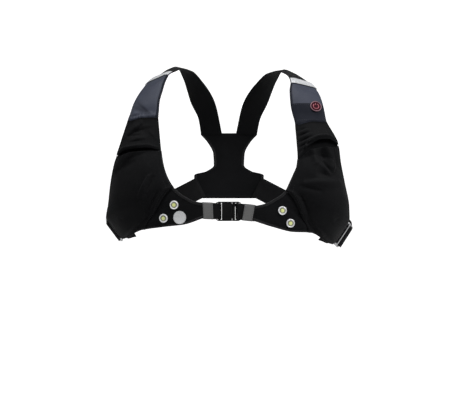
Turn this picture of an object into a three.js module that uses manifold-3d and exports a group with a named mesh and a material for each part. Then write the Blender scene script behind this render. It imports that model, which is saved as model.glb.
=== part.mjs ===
// An LED sport vest, shaped as it is worn: two chest panels with stretch pockets and front lights,
// padded shoulder straps, a buckled chest strap, side straps with adjusters and a plain back panel.
// Sizes are in millimetres. +Z is up, the wearer faces -Y and +X is the wearer's left.
// The origin is on the centre plane, level with the undersides of the straps on the shoulders.
// Each side is worked out with X counted outwards, and the right side's group is mirrored.

import * as THREE from "three";
import { mergeVertices } from "three/addons/utils/BufferGeometryUtils.js";
import Module from "manifold-3d";

const wasm = await Module();
wasm.setup();

// Cloth and webbing thicknesses, and the gap kept between pieces that are sewn or laid together
const SEAM_GAP = 0.4;
const PANEL_WALL = 2;
const POCKET_WALL = 1.2;
const PAD_WALL = 4;
const PAD_EDGE = 1.6;
const STRAP_WALL = 2;
const TAPE_WALL = 0.6;
const WEB_WALL = 1.3;

// Widths of the two sizes of webbing
const CHEST_WEB_WIDTH = 25;
const SIDE_WEB_WIDTH = 38;

// The pocket's fullness at its deepest, and the stand-off of its sewn edges from the panel
const POCKET_BELLY = 13;
const POCKET_STAND = PANEL_WALL + 3 * SEAM_GAP;

// Buckle on the chest
const BUCKLE_CENTRE = new THREE.Vector3(-1.6, -126, -239);
const BUCKLE_HEIGHT = 31;
const BUCKLE_DEPTH = 9;
const BUCKLE_HALF = 10.6;
const BUCKLE_MOUTH = 5.5;
const BUCKLE_BAR_AT = 14.4;
const BUCKLE_BAR_RADIUS = 1.6;
const BUCKLE_ARM = 2.2;
const BUCKLE_ARM_TAPER = 4;
const BUCKLE_CORNER = 1.6;
const BUCKLE_BEVEL = 0.75 * BUCKLE_CORNER;

// Adjuster at each lower outer corner
const SLIDE_WIDTH = 45;
const SLIDE_ARM = 2.8;
const SLIDE_DEPTH = 4;
const SLIDE_BAR_RADIUS = 1.8;
const SLIDE_BAR_STEP = 8.5;
const SLIDE_REACH = 14;
const SLIDE_TILT = { left: Math.PI / 16, right: -Math.PI / 60 };

// Front lights, the switch and the round patch
const LIGHT_RADIUS = 7.2;
const LIGHT_HEIGHT = 2.6;
const LENS_RADIUS = 4.2;
const BUTTON_RADIUS = 9.5;
const BUTTON_HEIGHT = 1.6;
const PATCH_RADIUS = 10.5;
const PATCH_WALL = 0.8;

// Back panel: a row for each height, from its top edge to its hem
const BACK_ROUND = 0.0022;
const BACK_ROWS = [
  { height: -104.5, half: 50, depth: 112 },
  { height: -118, half: 38, depth: 115 },
  { height: -138, half: 28, depth: 118 },
  { height: -158, half: 27, depth: 119.5 },
  { height: -169, half: 40, depth: 120 },
  { height: -177, half: 62, depth: 120 },
  { height: -218, half: 62, depth: 120 },
];

// Chest panel sections, from the strap's end down to the corner and in to the chest strap. Each row
// runs from the neck edge to the arm edge or hem. wrap is 0 for a straight row and 1 for a square turn
// round the side of the chest. Rows CORNER_TOP and CORNER_LOW bound the cut corner at the adjuster.
const CORNER_TOP = 5;
const CORNER_LOW = 6;
const PANEL_ROWS = {
  left: [
    { neckX: 107, neckY: -74, neckZ: -95, armX: 160, armY: -62, armZ: -94, wrap: 0.1 },
    { neckX: 110, neckY: -96, neckZ: -149, armX: 176.5, armY: -72, armZ: -130, wrap: 0.2 },
    { neckX: 108.5, neckY: -103, neckZ: -165, armX: 180.5, armY: -68, armZ: -160, wrap: 0.4 },
    { neckX: 102, neckY: -109, neckZ: -181, armX: 187, armY: -60, armZ: -192, wrap: 0.55 },
    { neckX: 96, neckY: -113, neckZ: -194, armX: 195, armY: -52, armZ: -232, wrap: 0.7 },
    { neckX: 90, neckY: -116, neckZ: -206, armX: 196, armY: -46, armZ: -257, wrap: 0.8 },
    { neckX: 81, neckY: -119, neckZ: -214, armX: 173, armY: -50, armZ: -291, wrap: 0.8 },
    { neckX: 71, neckY: -121, neckZ: -220, armX: 128, armY: -102, armZ: -273, wrap: 0.5 },
    { neckX: 62, neckY: -123, neckZ: -225, armX: 102, armY: -113, armZ: -272, wrap: 0.4 },
    { neckX: 53, neckY: -125, neckZ: -228, armX: 69, armY: -122, armZ: -264, wrap: 0.3 },
    { neckX: 40.5, neckY: -127, neckZ: -230.5, armX: 36.5, armY: -127, armZ: -253.5, wrap: 0 },
  ],
  right: [
    { neckX: 116, neckY: -74, neckZ: -88, armX: 166, armY: -62, armZ: -89, wrap: 0.1 },
    { neckX: 110, neckY: -97, neckZ: -141, armX: 182, armY: -72, armZ: -146, wrap: 0.2 },
    { neckX: 107, neckY: -104, neckZ: -160, armX: 187.5, armY: -68, armZ: -166, wrap: 0.4 },
    { neckX: 102, neckY: -109, neckZ: -178, armX: 193, armY: -60, armZ: -195, wrap: 0.55 },
    { neckX: 97, neckY: -113, neckZ: -189, armX: 197, armY: -52, armZ: -228, wrap: 0.7 },
    { neckX: 90, neckY: -116, neckZ: -200, armX: 201, armY: -46, armZ: -252, wrap: 0.8 },
    { neckX: 82, neckY: -119, neckZ: -208, armX: 178, armY: -50, armZ: -282, wrap: 0.8 },
    { neckX: 74, neckY: -121, neckZ: -214, armX: 136, armY: -100, armZ: -268, wrap: 0.5 },
    { neckX: 65, neckY: -123, neckZ: -219, armX: 106, armY: -112, armZ: -264, wrap: 0.4 },
    { neckX: 56, neckY: -125, neckZ: -223, armX: 72, armY: -122, armZ: -260, wrap: 0.3 },
    { neckX: 43, neckY: -127, neckZ: -225.5, armX: 42, armY: -127, armZ: -250, wrap: 0 },
  ],
};

// Shoulder strap sections, from the back panel up over the shoulder and down to the chest panel
const STRAP_ROWS = {
  left: [
    { neckX: 12, neckY: 111, neckZ: -104, armX: 50, armY: 106, armZ: -104 },
    { neckX: 25, neckY: 86, neckZ: -50, armX: 56, armY: 102, armZ: -77 },
    { neckX: 47, neckY: 60, neckZ: -18, armX: 69, armY: 92, armZ: -50 },
    { neckX: 66, neckY: 38, neckZ: -3, armX: 84, armY: 72, armZ: -12 },
    { neckX: 82, neckY: 18, neckZ: -1, armX: 96, armY: 54, armZ: 5 },
    { neckX: 92, neckY: -2, neckZ: -6, armX: 113, armY: 38, armZ: -3 },
    { neckX: 99, neckY: -22, neckZ: -14, armX: 131, armY: 12, armZ: -18 },
    { neckX: 102, neckY: -38, neckZ: -26, armX: 143, armY: -14, armZ: -31 },
    { neckX: 100, neckY: -50, neckZ: -41, armX: 151, armY: -34, armZ: -46 },
    { neckX: 101, neckY: -64, neckZ: -65, armX: 156, armY: -52, armZ: -67 },
    { neckX: 107, neckY: -74, neckZ: -94.5, armX: 160, armY: -62, armZ: -93.5 },
  ],
  right: [
    { neckX: 12, neckY: 111, neckZ: -104, armX: 50, armY: 106, armZ: -104 },
    { neckX: 25, neckY: 86, neckZ: -48, armX: 55, armY: 102, armZ: -76 },
    { neckX: 46, neckY: 60, neckZ: -15, armX: 68, armY: 92, armZ: -49 },
    { neckX: 64, neckY: 38, neckZ: 1, armX: 81, armY: 72, armZ: -8 },
    { neckX: 79, neckY: 18, neckZ: 3, armX: 92, armY: 54, armZ: 10 },
    { neckX: 91, neckY: -2, neckZ: -3, armX: 105, armY: 36, armZ: 4 },
    { neckX: 101, neckY: -22, neckZ: -11, armX: 120, armY: 14, armZ: -9 },
    { neckX: 106, neckY: -38, neckZ: -23, armX: 134, armY: -12, armZ: -21 },
    { neckX: 110, neckY: -50, neckZ: -39, armX: 147, armY: -34, armZ: -39 },
    { neckX: 115, neckY: -64, neckZ: -62, armX: 159, armY: -52, armZ: -63 },
    { neckX: 116, neckY: -74, neckZ: -87.5, armX: 166, armY: -62, armZ: -88.5 },
  ],
};

// The tape across the strap: the strap row of its middle at the neck edge and at the arm edge. The
// strap's padding begins PAD_LEAD rows behind the tape, where the plain back of the strap ends.
const TAPE_ROWS = {
  left: { neck: 6.77, arm: 7.05 },
  right: { neck: 5.8, arm: 7.15 },
};
const TAPE_HALF_ROWS = 0.34;
const PAD_LEAD = 0.05;

// Pocket mouth, from the neck edge (share 0) to the arm edge (share 1): the panel rows of the flap's
// hem and of the pocket's top edge, and how far each stands off the panel
const MOUTH_ROWS = {
  left: [
    { hemRow: 1.36, hemLift: 0.5, topRow: 1.44, topLift: 0.5 },
    { hemRow: 0.74, hemLift: 11, topRow: 1.02, topLift: 9 },
    { hemRow: 0.64, hemLift: 16, topRow: 1, topLift: 13 },
    { hemRow: 0.7, hemLift: 12, topRow: 1.12, topLift: 11 },
    { hemRow: 1.04, hemLift: 1, topRow: 1.14, topLift: 0.5 },
  ],
  right: [
    { hemRow: 1.02, hemLift: 0.5, topRow: 1.09, topLift: 0.5 },
    { hemRow: 0.89, hemLift: 6, topRow: 1.06, topLift: 6 },
    { hemRow: 0.92, hemLift: 12, topRow: 1.12, topLift: 11 },
    { hemRow: 0.95, hemLift: 12, topRow: 1.25, topLift: 10 },
    { hemRow: 1.1, hemLift: 1, topRow: 1.45, topLift: 0.5 },
  ],
};

// The pocket's inner seam, at even steps from row CORNER_TOP to row POCKET_END: its share of the way across
const POCKET_END = 7;
const SEAM_ROWS = [
  { share: 0 },
  { share: 0.09 },
  { share: 0.19 },
  { share: 0.38 },
  { share: 0.92 },
];

// Main folds of the pocket and the flap: a row for each, with its two ends on the front, its half
// width and its height. A negative height is a dent.
const FOLDS = {
  left: [
    { fromX: 126, fromZ: -138, toX: 140, toZ: -176, half: 7, rise: 3.5 },
    { fromX: 159, fromZ: -136, toX: 143, toZ: -178, half: 7, rise: 4.2 },
    { fromX: 122, fromZ: -188, toX: 166, toZ: -188, half: 7, rise: 2.5 },
    { fromX: 142, fromZ: -140, toX: 142, toZ: -160, half: 8, rise: -3 },
    { fromX: 110, fromZ: -118, toX: 130, toZ: -106, half: 5, rise: 1.6 },
    { fromX: 111, fromZ: -134, toX: 131, toZ: -119, half: 5, rise: 1.6 },
  ],
  right: [
    { fromX: 112, fromZ: -190, toX: 134, toZ: -224, half: 6, rise: 3 },
    { fromX: 108, fromZ: -206, toX: 130, toZ: -240, half: 5, rise: -2.5 },
    { fromX: 180, fromZ: -168, toX: 152, toZ: -152, half: 8, rise: 3 },
    { fromX: 164, fromZ: -118, toX: 136, toZ: -102, half: 6, rise: 1.6 },
    { fromX: 150, fromZ: -128, toX: 130, toZ: -118, half: 5, rise: 1.2 },
  ],
};

// Centres of the front lights, the switch and the patch, on the front
const LIGHTS = {
  left: { upper: { x: 84, z: -238 }, lower: { x: 97, z: -258 } },
  right: { upper: { x: 88, z: -229 }, lower: { x: 105, z: -250 } },
};
const SWITCH_AT = { x: 141, z: -70 };
const PATCH_AT = { x: 79, z: -249 };

// The raised cover over the switch, as strap rows and shares across the strap
const COVER_ROWS = { from: 8.9, to: 9.95 };
const COVER_SHARES = { neck: 0.03, arm: 0.97 };
const COVER_WALL = 0.8;

// Middle line of the side strap between the adjuster and the back panel
const SIDE_POINTS = [
  new THREE.Vector3(199, 34, -271),
  new THREE.Vector3(174, 73, -260),
  new THREE.Vector3(118, 99, -233),
];
const SIDE_TAIL = 12;
const SIDE_SEWN = 12;

// The corner tab: how far it reaches under the panel, and how much of it shows below the hem
const TAB_SHARE = 0.3;
const TAB_HEM_ROWS = 0.58;
const TAB_UNDER = 4;
const TAB_SHOW = 9;

// The grey sleeve round the chest webbing
const SLEEVE_LENGTH = 16;
const SLEEVE_WALL = 0.7;

// Materials: colour, roughness and metalness as they look on the object
const BLACK_CLOTH = { color: 0x131315, roughness: 0.9, metalness: 0 };
const PANEL_CLOTH = { color: 0x111113, roughness: 0.75, metalness: 0 };
const PAD_CLOTH = { color: 0x45464f, roughness: 0.6, metalness: 0 };
const COVER_CLOTH = { color: 0x33343d, roughness: 0.6, metalness: 0 };
const TAPE_CLOTH = { color: 0xc4c6c8, roughness: 0.4, metalness: 0.1 };
const SLEEVE_CLOTH = { color: 0x646464, roughness: 0.7, metalness: 0 };
const BLACK_WEBBING = { color: 0x151516, roughness: 0.85, metalness: 0 };
const BLACK_PLASTIC = { color: 0x16161a, roughness: 0.4, metalness: 0 };
const BRIGHT_METAL = { color: 0xd8d8da, roughness: 0.2, metalness: 0.9 };
const SLIDE_METAL = { color: 0xa8a8ac, roughness: 0.35, metalness: 1 };
const LAMP_LENS = { color: 0xd6dc96, roughness: 0.15, metalness: 0 };
const BUTTON_RED = { color: 0xa02433, roughness: 0.45, metalness: 0 };
const PATCH_CLOTH = { color: 0xcfd0d2, roughness: 0.4, metalness: 0.1 };

// Shapes of cloth

// How far down a row its square turn lies
const TURN_DROP = 0.8;

// A smooth curve through one column of a table. It passes every row and never overshoots.
function column(rows, key) {
  const values = rows.map((row) => row[key]);
  const steps = values.slice(1).map((value, i) => value - values[i]);
  const slopes = values.map((_, i) => {
    const before = steps[Math.max(i - 1, 0)];
    const after = steps[Math.min(i, steps.length - 1)];
    return before * after <= 0 ? 0 : (2 * before * after) / (before + after);
  });
  return (at) => {
    const i = Math.min(Math.max(Math.floor(at), 0), steps.length - 1);
    const f = at - i;
    const bend = 3 * steps[i] - 2 * slopes[i] - slopes[i + 1];
    const twist = slopes[i] + slopes[i + 1] - 2 * steps[i];
    return values[i] + f * (slopes[i] + f * (bend + f * twist));
  };
}

// A surface made from a function of row and share, with its outward direction at each place
function surface(point, last) {
  const small = 0.01;
  const at = (row, share) => {
    const alongRows = point(row + small, share).sub(point(row - small, share));
    const acrossRow = point(row, share + small).sub(point(row, share - small));
    const out = alongRows.clone().cross(acrossRow).normalize();
    return { point: point(row, share), out, alongRows, acrossRow };
  };
  return { at, last };
}

// The surface between two edges, whose rows bend towards a square turn by their wrap. A panel's arm
// edge is straight across its cut corner.
function loft(rows, hasCorner) {
  const [neckX, neckY, neckZ] = ["neckX", "neckY", "neckZ"].map((key) => column(rows, key));
  const [armX, armY, armZ] = ["armX", "armY", "armZ"].map((key) => column(rows, key));
  const wrap = "wrap" in rows[0] ? column(rows, "wrap") : () => 0;
  const armCurve = (row) => new THREE.Vector3(armX(row), armY(row), armZ(row));
  const armEdge = (row) => {
    const along = (row - CORNER_TOP) / (CORNER_LOW - CORNER_TOP);
    const onCorner = hasCorner && along > 0 && along < 1;
    return onCorner ? armCurve(CORNER_TOP).lerp(armCurve(CORNER_LOW), along) : armCurve(row);
  };
  const point = (row, share) => {
    const neck = new THREE.Vector3(neckX(row), neckY(row), neckZ(row));
    const arm = armEdge(row);
    const turn = new THREE.Vector3(arm.x, neck.y, neck.z + TURN_DROP * (arm.z - neck.z));
    const bend = neck.clone().lerp(arm, 0.5).lerp(turn, wrap(row));
    return new THREE.QuadraticBezierCurve3(neck, bend, arm).getPoint(share);
  };
  return surface(point, rows.length - 1);
}

// The row and share of the place on a surface that is seen from the front at x and z
function locate(on, x, z, row, share) {
  const spot = { row, share };
  for (let pass = 0; pass < 30; pass += 1) {
    const here = on.at(spot.row, spot.share);
    const dx = x - here.point.x;
    const dz = z - here.point.z;
    const a = here.alongRows;
    const b = here.acrossRow;
    const area = a.x * b.z - a.z * b.x;
    spot.row += (0.02 * (dx * b.z - dz * b.x)) / area;
    spot.share += (0.02 * (a.x * dz - a.z * dx)) / area;
  }
  return on.at(spot.row, spot.share);
}

// A grid of places on a surface. place turns the two shares of the grid into a row and a share.
function gridOn(on, down, across, place) {
  return Array.from({ length: down + 1 }, (_, i) =>
    Array.from({ length: across + 1 }, (_, j) => {
      const u = i / down;
      const v = j / across;
      return { ...on.at(...place(u, v)), u, v };
    }),
  );
}

// A closed wall on a grid. low and high say how far its two faces stand off the surface.
function wall(grid, low, high) {
  const down = grid.length - 1;
  const across = grid[0].length - 1;
  const side = (across + 1) * (down + 1);
  const positions = [];
  for (const offset of [low, high]) {
    for (const spot of grid.flat()) {
      positions.push(...spot.point.clone().addScaledVector(spot.out, offset(spot)).toArray());
    }
  }
  const faces = [];
  const quad = (a, b, c, d) => faces.push(a, b, c, a, c, d);
  const id = (i, j) => i * (across + 1) + j;
  for (let i = 0; i < down; i += 1) {
    for (let j = 0; j < across; j += 1) {
      quad(side + id(i, j), side + id(i + 1, j), side + id(i + 1, j + 1), side + id(i, j + 1));
      quad(id(i, j), id(i, j + 1), id(i + 1, j + 1), id(i + 1, j));
    }
    quad(id(i, 0), id(i + 1, 0), side + id(i + 1, 0), side + id(i, 0));
    quad(id(i, across), side + id(i, across), side + id(i + 1, across), id(i + 1, across));
  }
  for (let j = 0; j < across; j += 1) {
    quad(id(0, j), side + id(0, j), side + id(0, j + 1), id(0, j + 1));
    quad(id(down, j), id(down, j + 1), side + id(down, j + 1), side + id(down, j));
  }
  const geometry = new THREE.BufferGeometry();
  geometry.setAttribute("position", new THREE.Float32BufferAttribute(positions, 3));
  geometry.setIndex(faces);
  geometry.computeVertexNormals();
  return geometry;
}

// A grid along a line of points. sideways holds each point's direction across the ribbon.
function ribbon(points, sideways, width, columns) {
  return points.map((point, i) => {
    const before = points[Math.max(i - 1, 0)];
    const after = points[Math.min(i + 1, points.length - 1)];
    const along = after.clone().sub(before).normalize();
    const across = sideways[i].clone().addScaledVector(along, -sideways[i].dot(along)).normalize();
    const out = along.clone().cross(across).normalize();
    return Array.from({ length: columns + 1 }, (_, j) => {
      const v = j / columns;
      return { point: point.clone().addScaledVector(across, (v - 0.5) * width), out, v };
    });
  });
}

// Points of a webbing fold round a bar, from the inner layer, through the gap, to the outer layer.
// towards is the way that the layers lead off the bar.
function foldRound(frame, barAt, radius, towards) {
  const steps = 8;
  return Array.from({ length: steps + 1 }, (_, i) => {
    const turn = (Math.PI * i) / steps;
    const along = barAt - towards * radius * Math.sin(turn);
    return frame(along, 0, -radius * Math.cos(turn));
  });
}

// How far the folds lift a place on the cloth, from its nearest point on each fold's line
function foldRise(folds) {
  const lines = folds.map((fold) => {
    const from = new THREE.Vector3(fold.fromX, 0, fold.fromZ);
    const to = new THREE.Vector3(fold.toX, 0, fold.toZ);
    return { line: new THREE.Line3(from, to), half: fold.half, rise: fold.rise };
  });
  const nearest = new THREE.Vector3();
  return (point) => {
    const flat = new THREE.Vector3(point.x, 0, point.z);
    return lines.reduce((sum, { line, half, rise }) => {
      line.closestPointToPoint(flat, true, nearest);
      return sum + rise * Math.exp(-((nearest.distanceTo(flat) / half) ** 2));
    }, 0);
  };
}

// Joining and cutting solids

function toManifold(geometry) {
  const bare = new THREE.BufferGeometry();
  bare.setAttribute("position", geometry.getAttribute("position"));
  bare.setIndex(geometry.getIndex());
  const merged = mergeVertices(bare, 1e-4);
  return new wasm.Manifold(
    new wasm.Mesh({
      numProp: 3,
      vertProperties: merged.getAttribute("position").array,
      triVerts: new Uint32Array(merged.getIndex().array),
    }),
  );
}

function toGeometry(solid) {
  const { vertProperties, triVerts } = solid.getMesh();
  const geometry = new THREE.BufferGeometry();
  geometry.setAttribute("position", new THREE.BufferAttribute(vertProperties, 3));
  geometry.setIndex(new THREE.BufferAttribute(triVerts, 1));
  geometry.computeVertexNormals();
  return geometry;
}

const joined = (geometries) => toGeometry(geometries.map(toManifold).reduce((a, b) => a.add(b)));
const cut = (geometry, tools) =>
  toGeometry(tools.map(toManifold).reduce((a, b) => a.subtract(b), toManifold(geometry)));

function box(lengthAlong, lengthUp, depth, along, up, out) {
  return new THREE.BoxGeometry(lengthAlong, lengthUp, depth).translate(along, up, out);
}

function bar(radius, length, along) {
  return new THREE.CylinderGeometry(radius, radius, length, 12).translate(along, 0, 0);
}

// Nodes

function piece(name, geometry, look) {
  const mesh = new THREE.Mesh(geometry, new THREE.MeshStandardMaterial(look));
  mesh.name = name;
  return mesh;
}

// Sets a turned piece, whose axis is Y, on a surface
function setOn(mesh, spot, offset) {
  mesh.position.copy(spot.point).addScaledVector(spot.out, offset);
  mesh.quaternion.setFromUnitVectors(new THREE.Vector3(0, 1, 0), spot.out);
  return mesh;
}

function turned(profile, segments) {
  const points = profile.map(([radius, height]) => new THREE.Vector2(radius, height));
  return new THREE.LatheGeometry(points, segments);
}

// The parts of one side

function chestPanel(side, panel) {
  const grid = gridOn(panel, 20, 8, (u, v) => [u * panel.last, v]);
  return piece(`chest_panel_${side}`, wall(grid, () => 0, () => PANEL_WALL), PANEL_CLOTH);
}

function pocketFlap(side, panel, rise) {
  const hemRow = column(MOUTH_ROWS[side], "hemRow");
  const hemLift = column(MOUTH_ROWS[side], "hemLift");
  const start = 0.02;
  const steps = MOUTH_ROWS[side].length - 1;
  const grid = gridOn(panel, 7, 12, (u, v) => [start + u * (hemRow(v * steps) - start), v]);
  const low = ({ point, u, v }) => {
    const held = Math.sin(Math.PI * Math.min(Math.max(v, 0.02), 0.98));
    const lift = hemLift(v * steps) * u ** 2;
    return POCKET_STAND + lift + Math.max(rise(point) * held * u, -0.9 * lift);
  };
  return piece(`pocket_flap_${side}`, wall(grid, low, (spot) => low(spot) + POCKET_WALL), BLACK_CLOTH);
}

function pocketFront(side, panel, rise) {
  const topRow = column(MOUTH_ROWS[side], "topRow");
  const topLift = column(MOUTH_ROWS[side], "topLift");
  const seam = column(SEAM_ROWS, "share");
  const steps = MOUTH_ROWS[side].length - 1;
  const seamAt = (row) => {
    const along = (row - CORNER_TOP) / (POCKET_END - CORNER_TOP);
    return along <= 0 ? 0 : seam(along * (SEAM_ROWS.length - 1));
  };
  const turnAt = 2 / 3;
  const grid = gridOn(panel, 18, 12, (u, v) => {
    const top = topRow(v * steps);
    const above = top + (u / turnAt) * (CORNER_TOP - top);
    const below = CORNER_TOP + ((u - turnAt) / (1 - turnAt)) * (POCKET_END - CORNER_TOP);
    const row = u < turnAt ? above : below;
    const from = seamAt(row);
    return [row, from + v * (1 - from)];
  });
  const low = ({ point, u, v }) => {
    const held = Math.min(1, 2.2 * Math.sin(Math.PI * v)) * Math.min(1, 3 * (1 - u));
    const acrossFull = Math.sin(Math.PI * v ** 0.75) ** 1.3;
    const downFull = Math.sin(Math.PI * Math.min(1, 0.12 + u)) ** 0.8;
    const mouth = topLift(v * steps) * (1 - u) ** 4;
    const full = Math.max(POCKET_BELLY * acrossFull * downFull, mouth) * (1 - u ** 6);
    return POCKET_STAND + Math.max(full + rise(point) * held, 0.35 * full);
  };
  return piece(`pocket_front_${side}`, wall(grid, low, (spot) => low(spot) + POCKET_WALL), BLACK_CLOTH);
}

// The strap's padding thins to its bound edges
function padHeight(v) {
  const middle = 1 - (2 * v - 1) ** 6;
  return PAD_EDGE + (PAD_WALL - PAD_EDGE) * middle;
}

const tapeRow = (side, v) => TAPE_ROWS[side].neck + v * (TAPE_ROWS[side].arm - TAPE_ROWS[side].neck);
const padStart = (side, v) => tapeRow(side, v) - TAPE_HALF_ROWS - PAD_LEAD;

function shoulderPad(side, strap) {
  const grid = gridOn(strap, 12, 6, (u, v) => {
    const start = padStart(side, v) + 0.01;
    return [start + u * (strap.last - start), v];
  });
  return piece(`shoulder_pad_${side}`, wall(grid, () => 0, ({ v }) => padHeight(v)), PAD_CLOTH);
}

function backStrap(side, strap) {
  const grid = gridOn(strap, 15, 3, (u, v) => [u * (padStart(side, v) - 0.01), v]);
  return piece(`back_strap_${side}`, wall(grid, () => 0, () => STRAP_WALL), BLACK_CLOTH);
}

function reflectiveTape(side, strap) {
  const grid = gridOn(strap, 2, 6, (u, v) => [tapeRow(side, v) + (2 * u - 1) * TAPE_HALF_ROWS, v]);
  const low = ({ v }) => padHeight(v) + SEAM_GAP;
  return piece(`reflective_tape_${side}`, wall(grid, low, (spot) => low(spot) + TAPE_WALL), TAPE_CLOTH);
}

function light(side, place, panel) {
  const { x, z } = LIGHTS[side][place];
  const spot = locate(panel, x, z, 7, 0.5);
  const cup = LENS_RADIUS + SEAM_GAP;
  const bezel = turned(
    [
      [cup, 0],
      [LIGHT_RADIUS, 0],
      [LIGHT_RADIUS, LIGHT_HEIGHT * 0.5],
      [LIGHT_RADIUS - 0.7, LIGHT_HEIGHT * 0.9],
      [LIGHT_RADIUS - 1.5, LIGHT_HEIGHT],
      [cup, LIGHT_HEIGHT * 0.55],
      [cup, 0],
    ],
    20,
  );
  const lens = turned(
    [
      [0, 0],
      [LENS_RADIUS, 0],
      [LENS_RADIUS, LIGHT_HEIGHT * 0.4],
      [LENS_RADIUS * 0.72, LIGHT_HEIGHT * 0.75],
      [LENS_RADIUS * 0.35, LIGHT_HEIGHT * 0.95],
      [0, LIGHT_HEIGHT],
    ],
    16,
  );
  const stand = PANEL_WALL + SEAM_GAP;
  return [
    setOn(piece(`light_bezel_${place}_${side}`, bezel, BRIGHT_METAL), spot, stand),
    setOn(piece(`light_lens_${place}_${side}`, lens, LAMP_LENS), spot, stand),
  ];
}

// The adjuster's own directions, taken from the panel's cut corner: along the strap, across it and out.
// It tilts outwards from the panel.
function slideFrame(panel, tilt) {
  const middle = panel.at((CORNER_TOP + CORNER_LOW) / 2, 1);
  const top = panel.at(CORNER_TOP, 1).point;
  const low = panel.at(CORNER_LOW, 1).point;
  const across = top.clone().sub(low).normalize();
  const along = middle.acrossRow.clone().addScaledVector(across, -middle.acrossRow.dot(across)).normalize();
  along.applyAxisAngle(across, -tilt);
  const out = along.clone().cross(across).normalize();
  const centre = low.clone().lerp(top, 0.5);
  centre.addScaledVector(along, SLIDE_REACH).addScaledVector(out, PANEL_WALL / 2);
  const point = (l, w, n) =>
    centre.clone().addScaledVector(along, l).addScaledVector(across, w).addScaledVector(out, n);
  return { centre, along, across, out, point };
}

function sideAdjuster(side, frame) {
  const armAt = (SLIDE_WIDTH - SLIDE_ARM) / 2;
  const length = 2 * (SLIDE_BAR_STEP + SLIDE_BAR_RADIUS);
  const arms = [-armAt, armAt].map((up) => box(length, SLIDE_ARM, SLIDE_DEPTH, 0, up, 0));
  const bars = [-SLIDE_BAR_STEP, 0, SLIDE_BAR_STEP].map((along) => bar(SLIDE_BAR_RADIUS, 2 * armAt, along));
  const mesh = piece(`side_adjuster_${side}`, joined([...arms, ...bars]), SLIDE_METAL);
  mesh.position.copy(frame.centre);
  mesh.quaternion.setFromRotationMatrix(new THREE.Matrix4().makeBasis(frame.along, frame.across, frame.out));
  return mesh;
}

const SLIDE_FOLD = SLIDE_BAR_RADIUS + SEAM_GAP + WEB_WALL / 2;
const webWall = (grid) => wall(grid, () => -WEB_WALL / 2, () => WEB_WALL / 2);

// The tab is sewn under the panel's corner, shows a little below the hem and folds round the adjuster's bar
function cornerTab(side, panel, frame) {
  const columns = 6;
  const under = [1, 0.75, 0.5, 0.25, 0].map((inwards) =>
    Array.from({ length: columns + 1 }, (_, j) => {
      const v = j / columns;
      const low = { row: CORNER_LOW + TAB_HEM_ROWS * inwards, share: 1 };
      const top = { row: CORNER_TOP + 0.08, share: 1 - TAB_SHARE * inwards };
      const spot = panel.at(low.row + v * (top.row - low.row), low.share + v * (top.share - low.share));
      spot.point.addScaledVector(spot.out, -TAB_UNDER);
      spot.point.z -= v === 0 ? TAB_SHOW * Math.min(1, 2 * inwards) : 0;
      return { ...spot, v };
    }),
  );
  const lead = frame.point(-SLIDE_BAR_STEP - 3, 0, -SLIDE_FOLD);
  const fold = foldRound(frame.point, -SLIDE_BAR_STEP, SLIDE_FOLD, -1);
  const end = frame.point(-SLIDE_BAR_STEP - 3, 0, SLIDE_FOLD);
  const points = [lead, ...fold, end];
  const grid = [...under, ...ribbon(points, points.map(() => frame.across), SIDE_WEB_WIDTH, columns)];
  return piece(`corner_tab_${side}`, webWall(grid), BLACK_WEBBING);
}

// The side strap folds round the adjuster's other bar and is sewn inside the back panel
function sideStrap(side, frame) {
  const tail = frame.point(SLIDE_BAR_STEP + SIDE_TAIL, 0, -SLIDE_FOLD - WEB_WALL);
  const fold = foldRound(frame.point, SLIDE_BAR_STEP, SLIDE_FOLD, 1);
  const lead = frame.point(SLIDE_BAR_STEP + 6, 0, SLIDE_FOLD);
  const hem = BACK_ROWS.slice(-2);
  const sewnAt = hem[1].half - SIDE_SEWN;
  const inside = hem[1].depth - BACK_ROUND * sewnAt ** 2 - WEB_WALL - 2 * SEAM_GAP;
  const end = new THREE.Vector3(sewnAt, inside, (hem[0].height + hem[1].height) / 2);
  const curve = new THREE.CatmullRomCurve3([lead, ...SIDE_POINTS, end]).getPoints(14);
  const upright = new THREE.Vector3(0, 0, 1);
  const turning = curve.map((_, i) => frame.across.clone().lerp(upright, i / (curve.length - 1)));
  const still = [tail, ...fold].map(() => frame.across);
  const grid = ribbon([tail, ...fold, ...curve], [...still, ...turning], SIDE_WEB_WIDTH, 2);
  return piece(`side_strap_${side}`, webWall(grid), BLACK_WEBBING);
}

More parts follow.
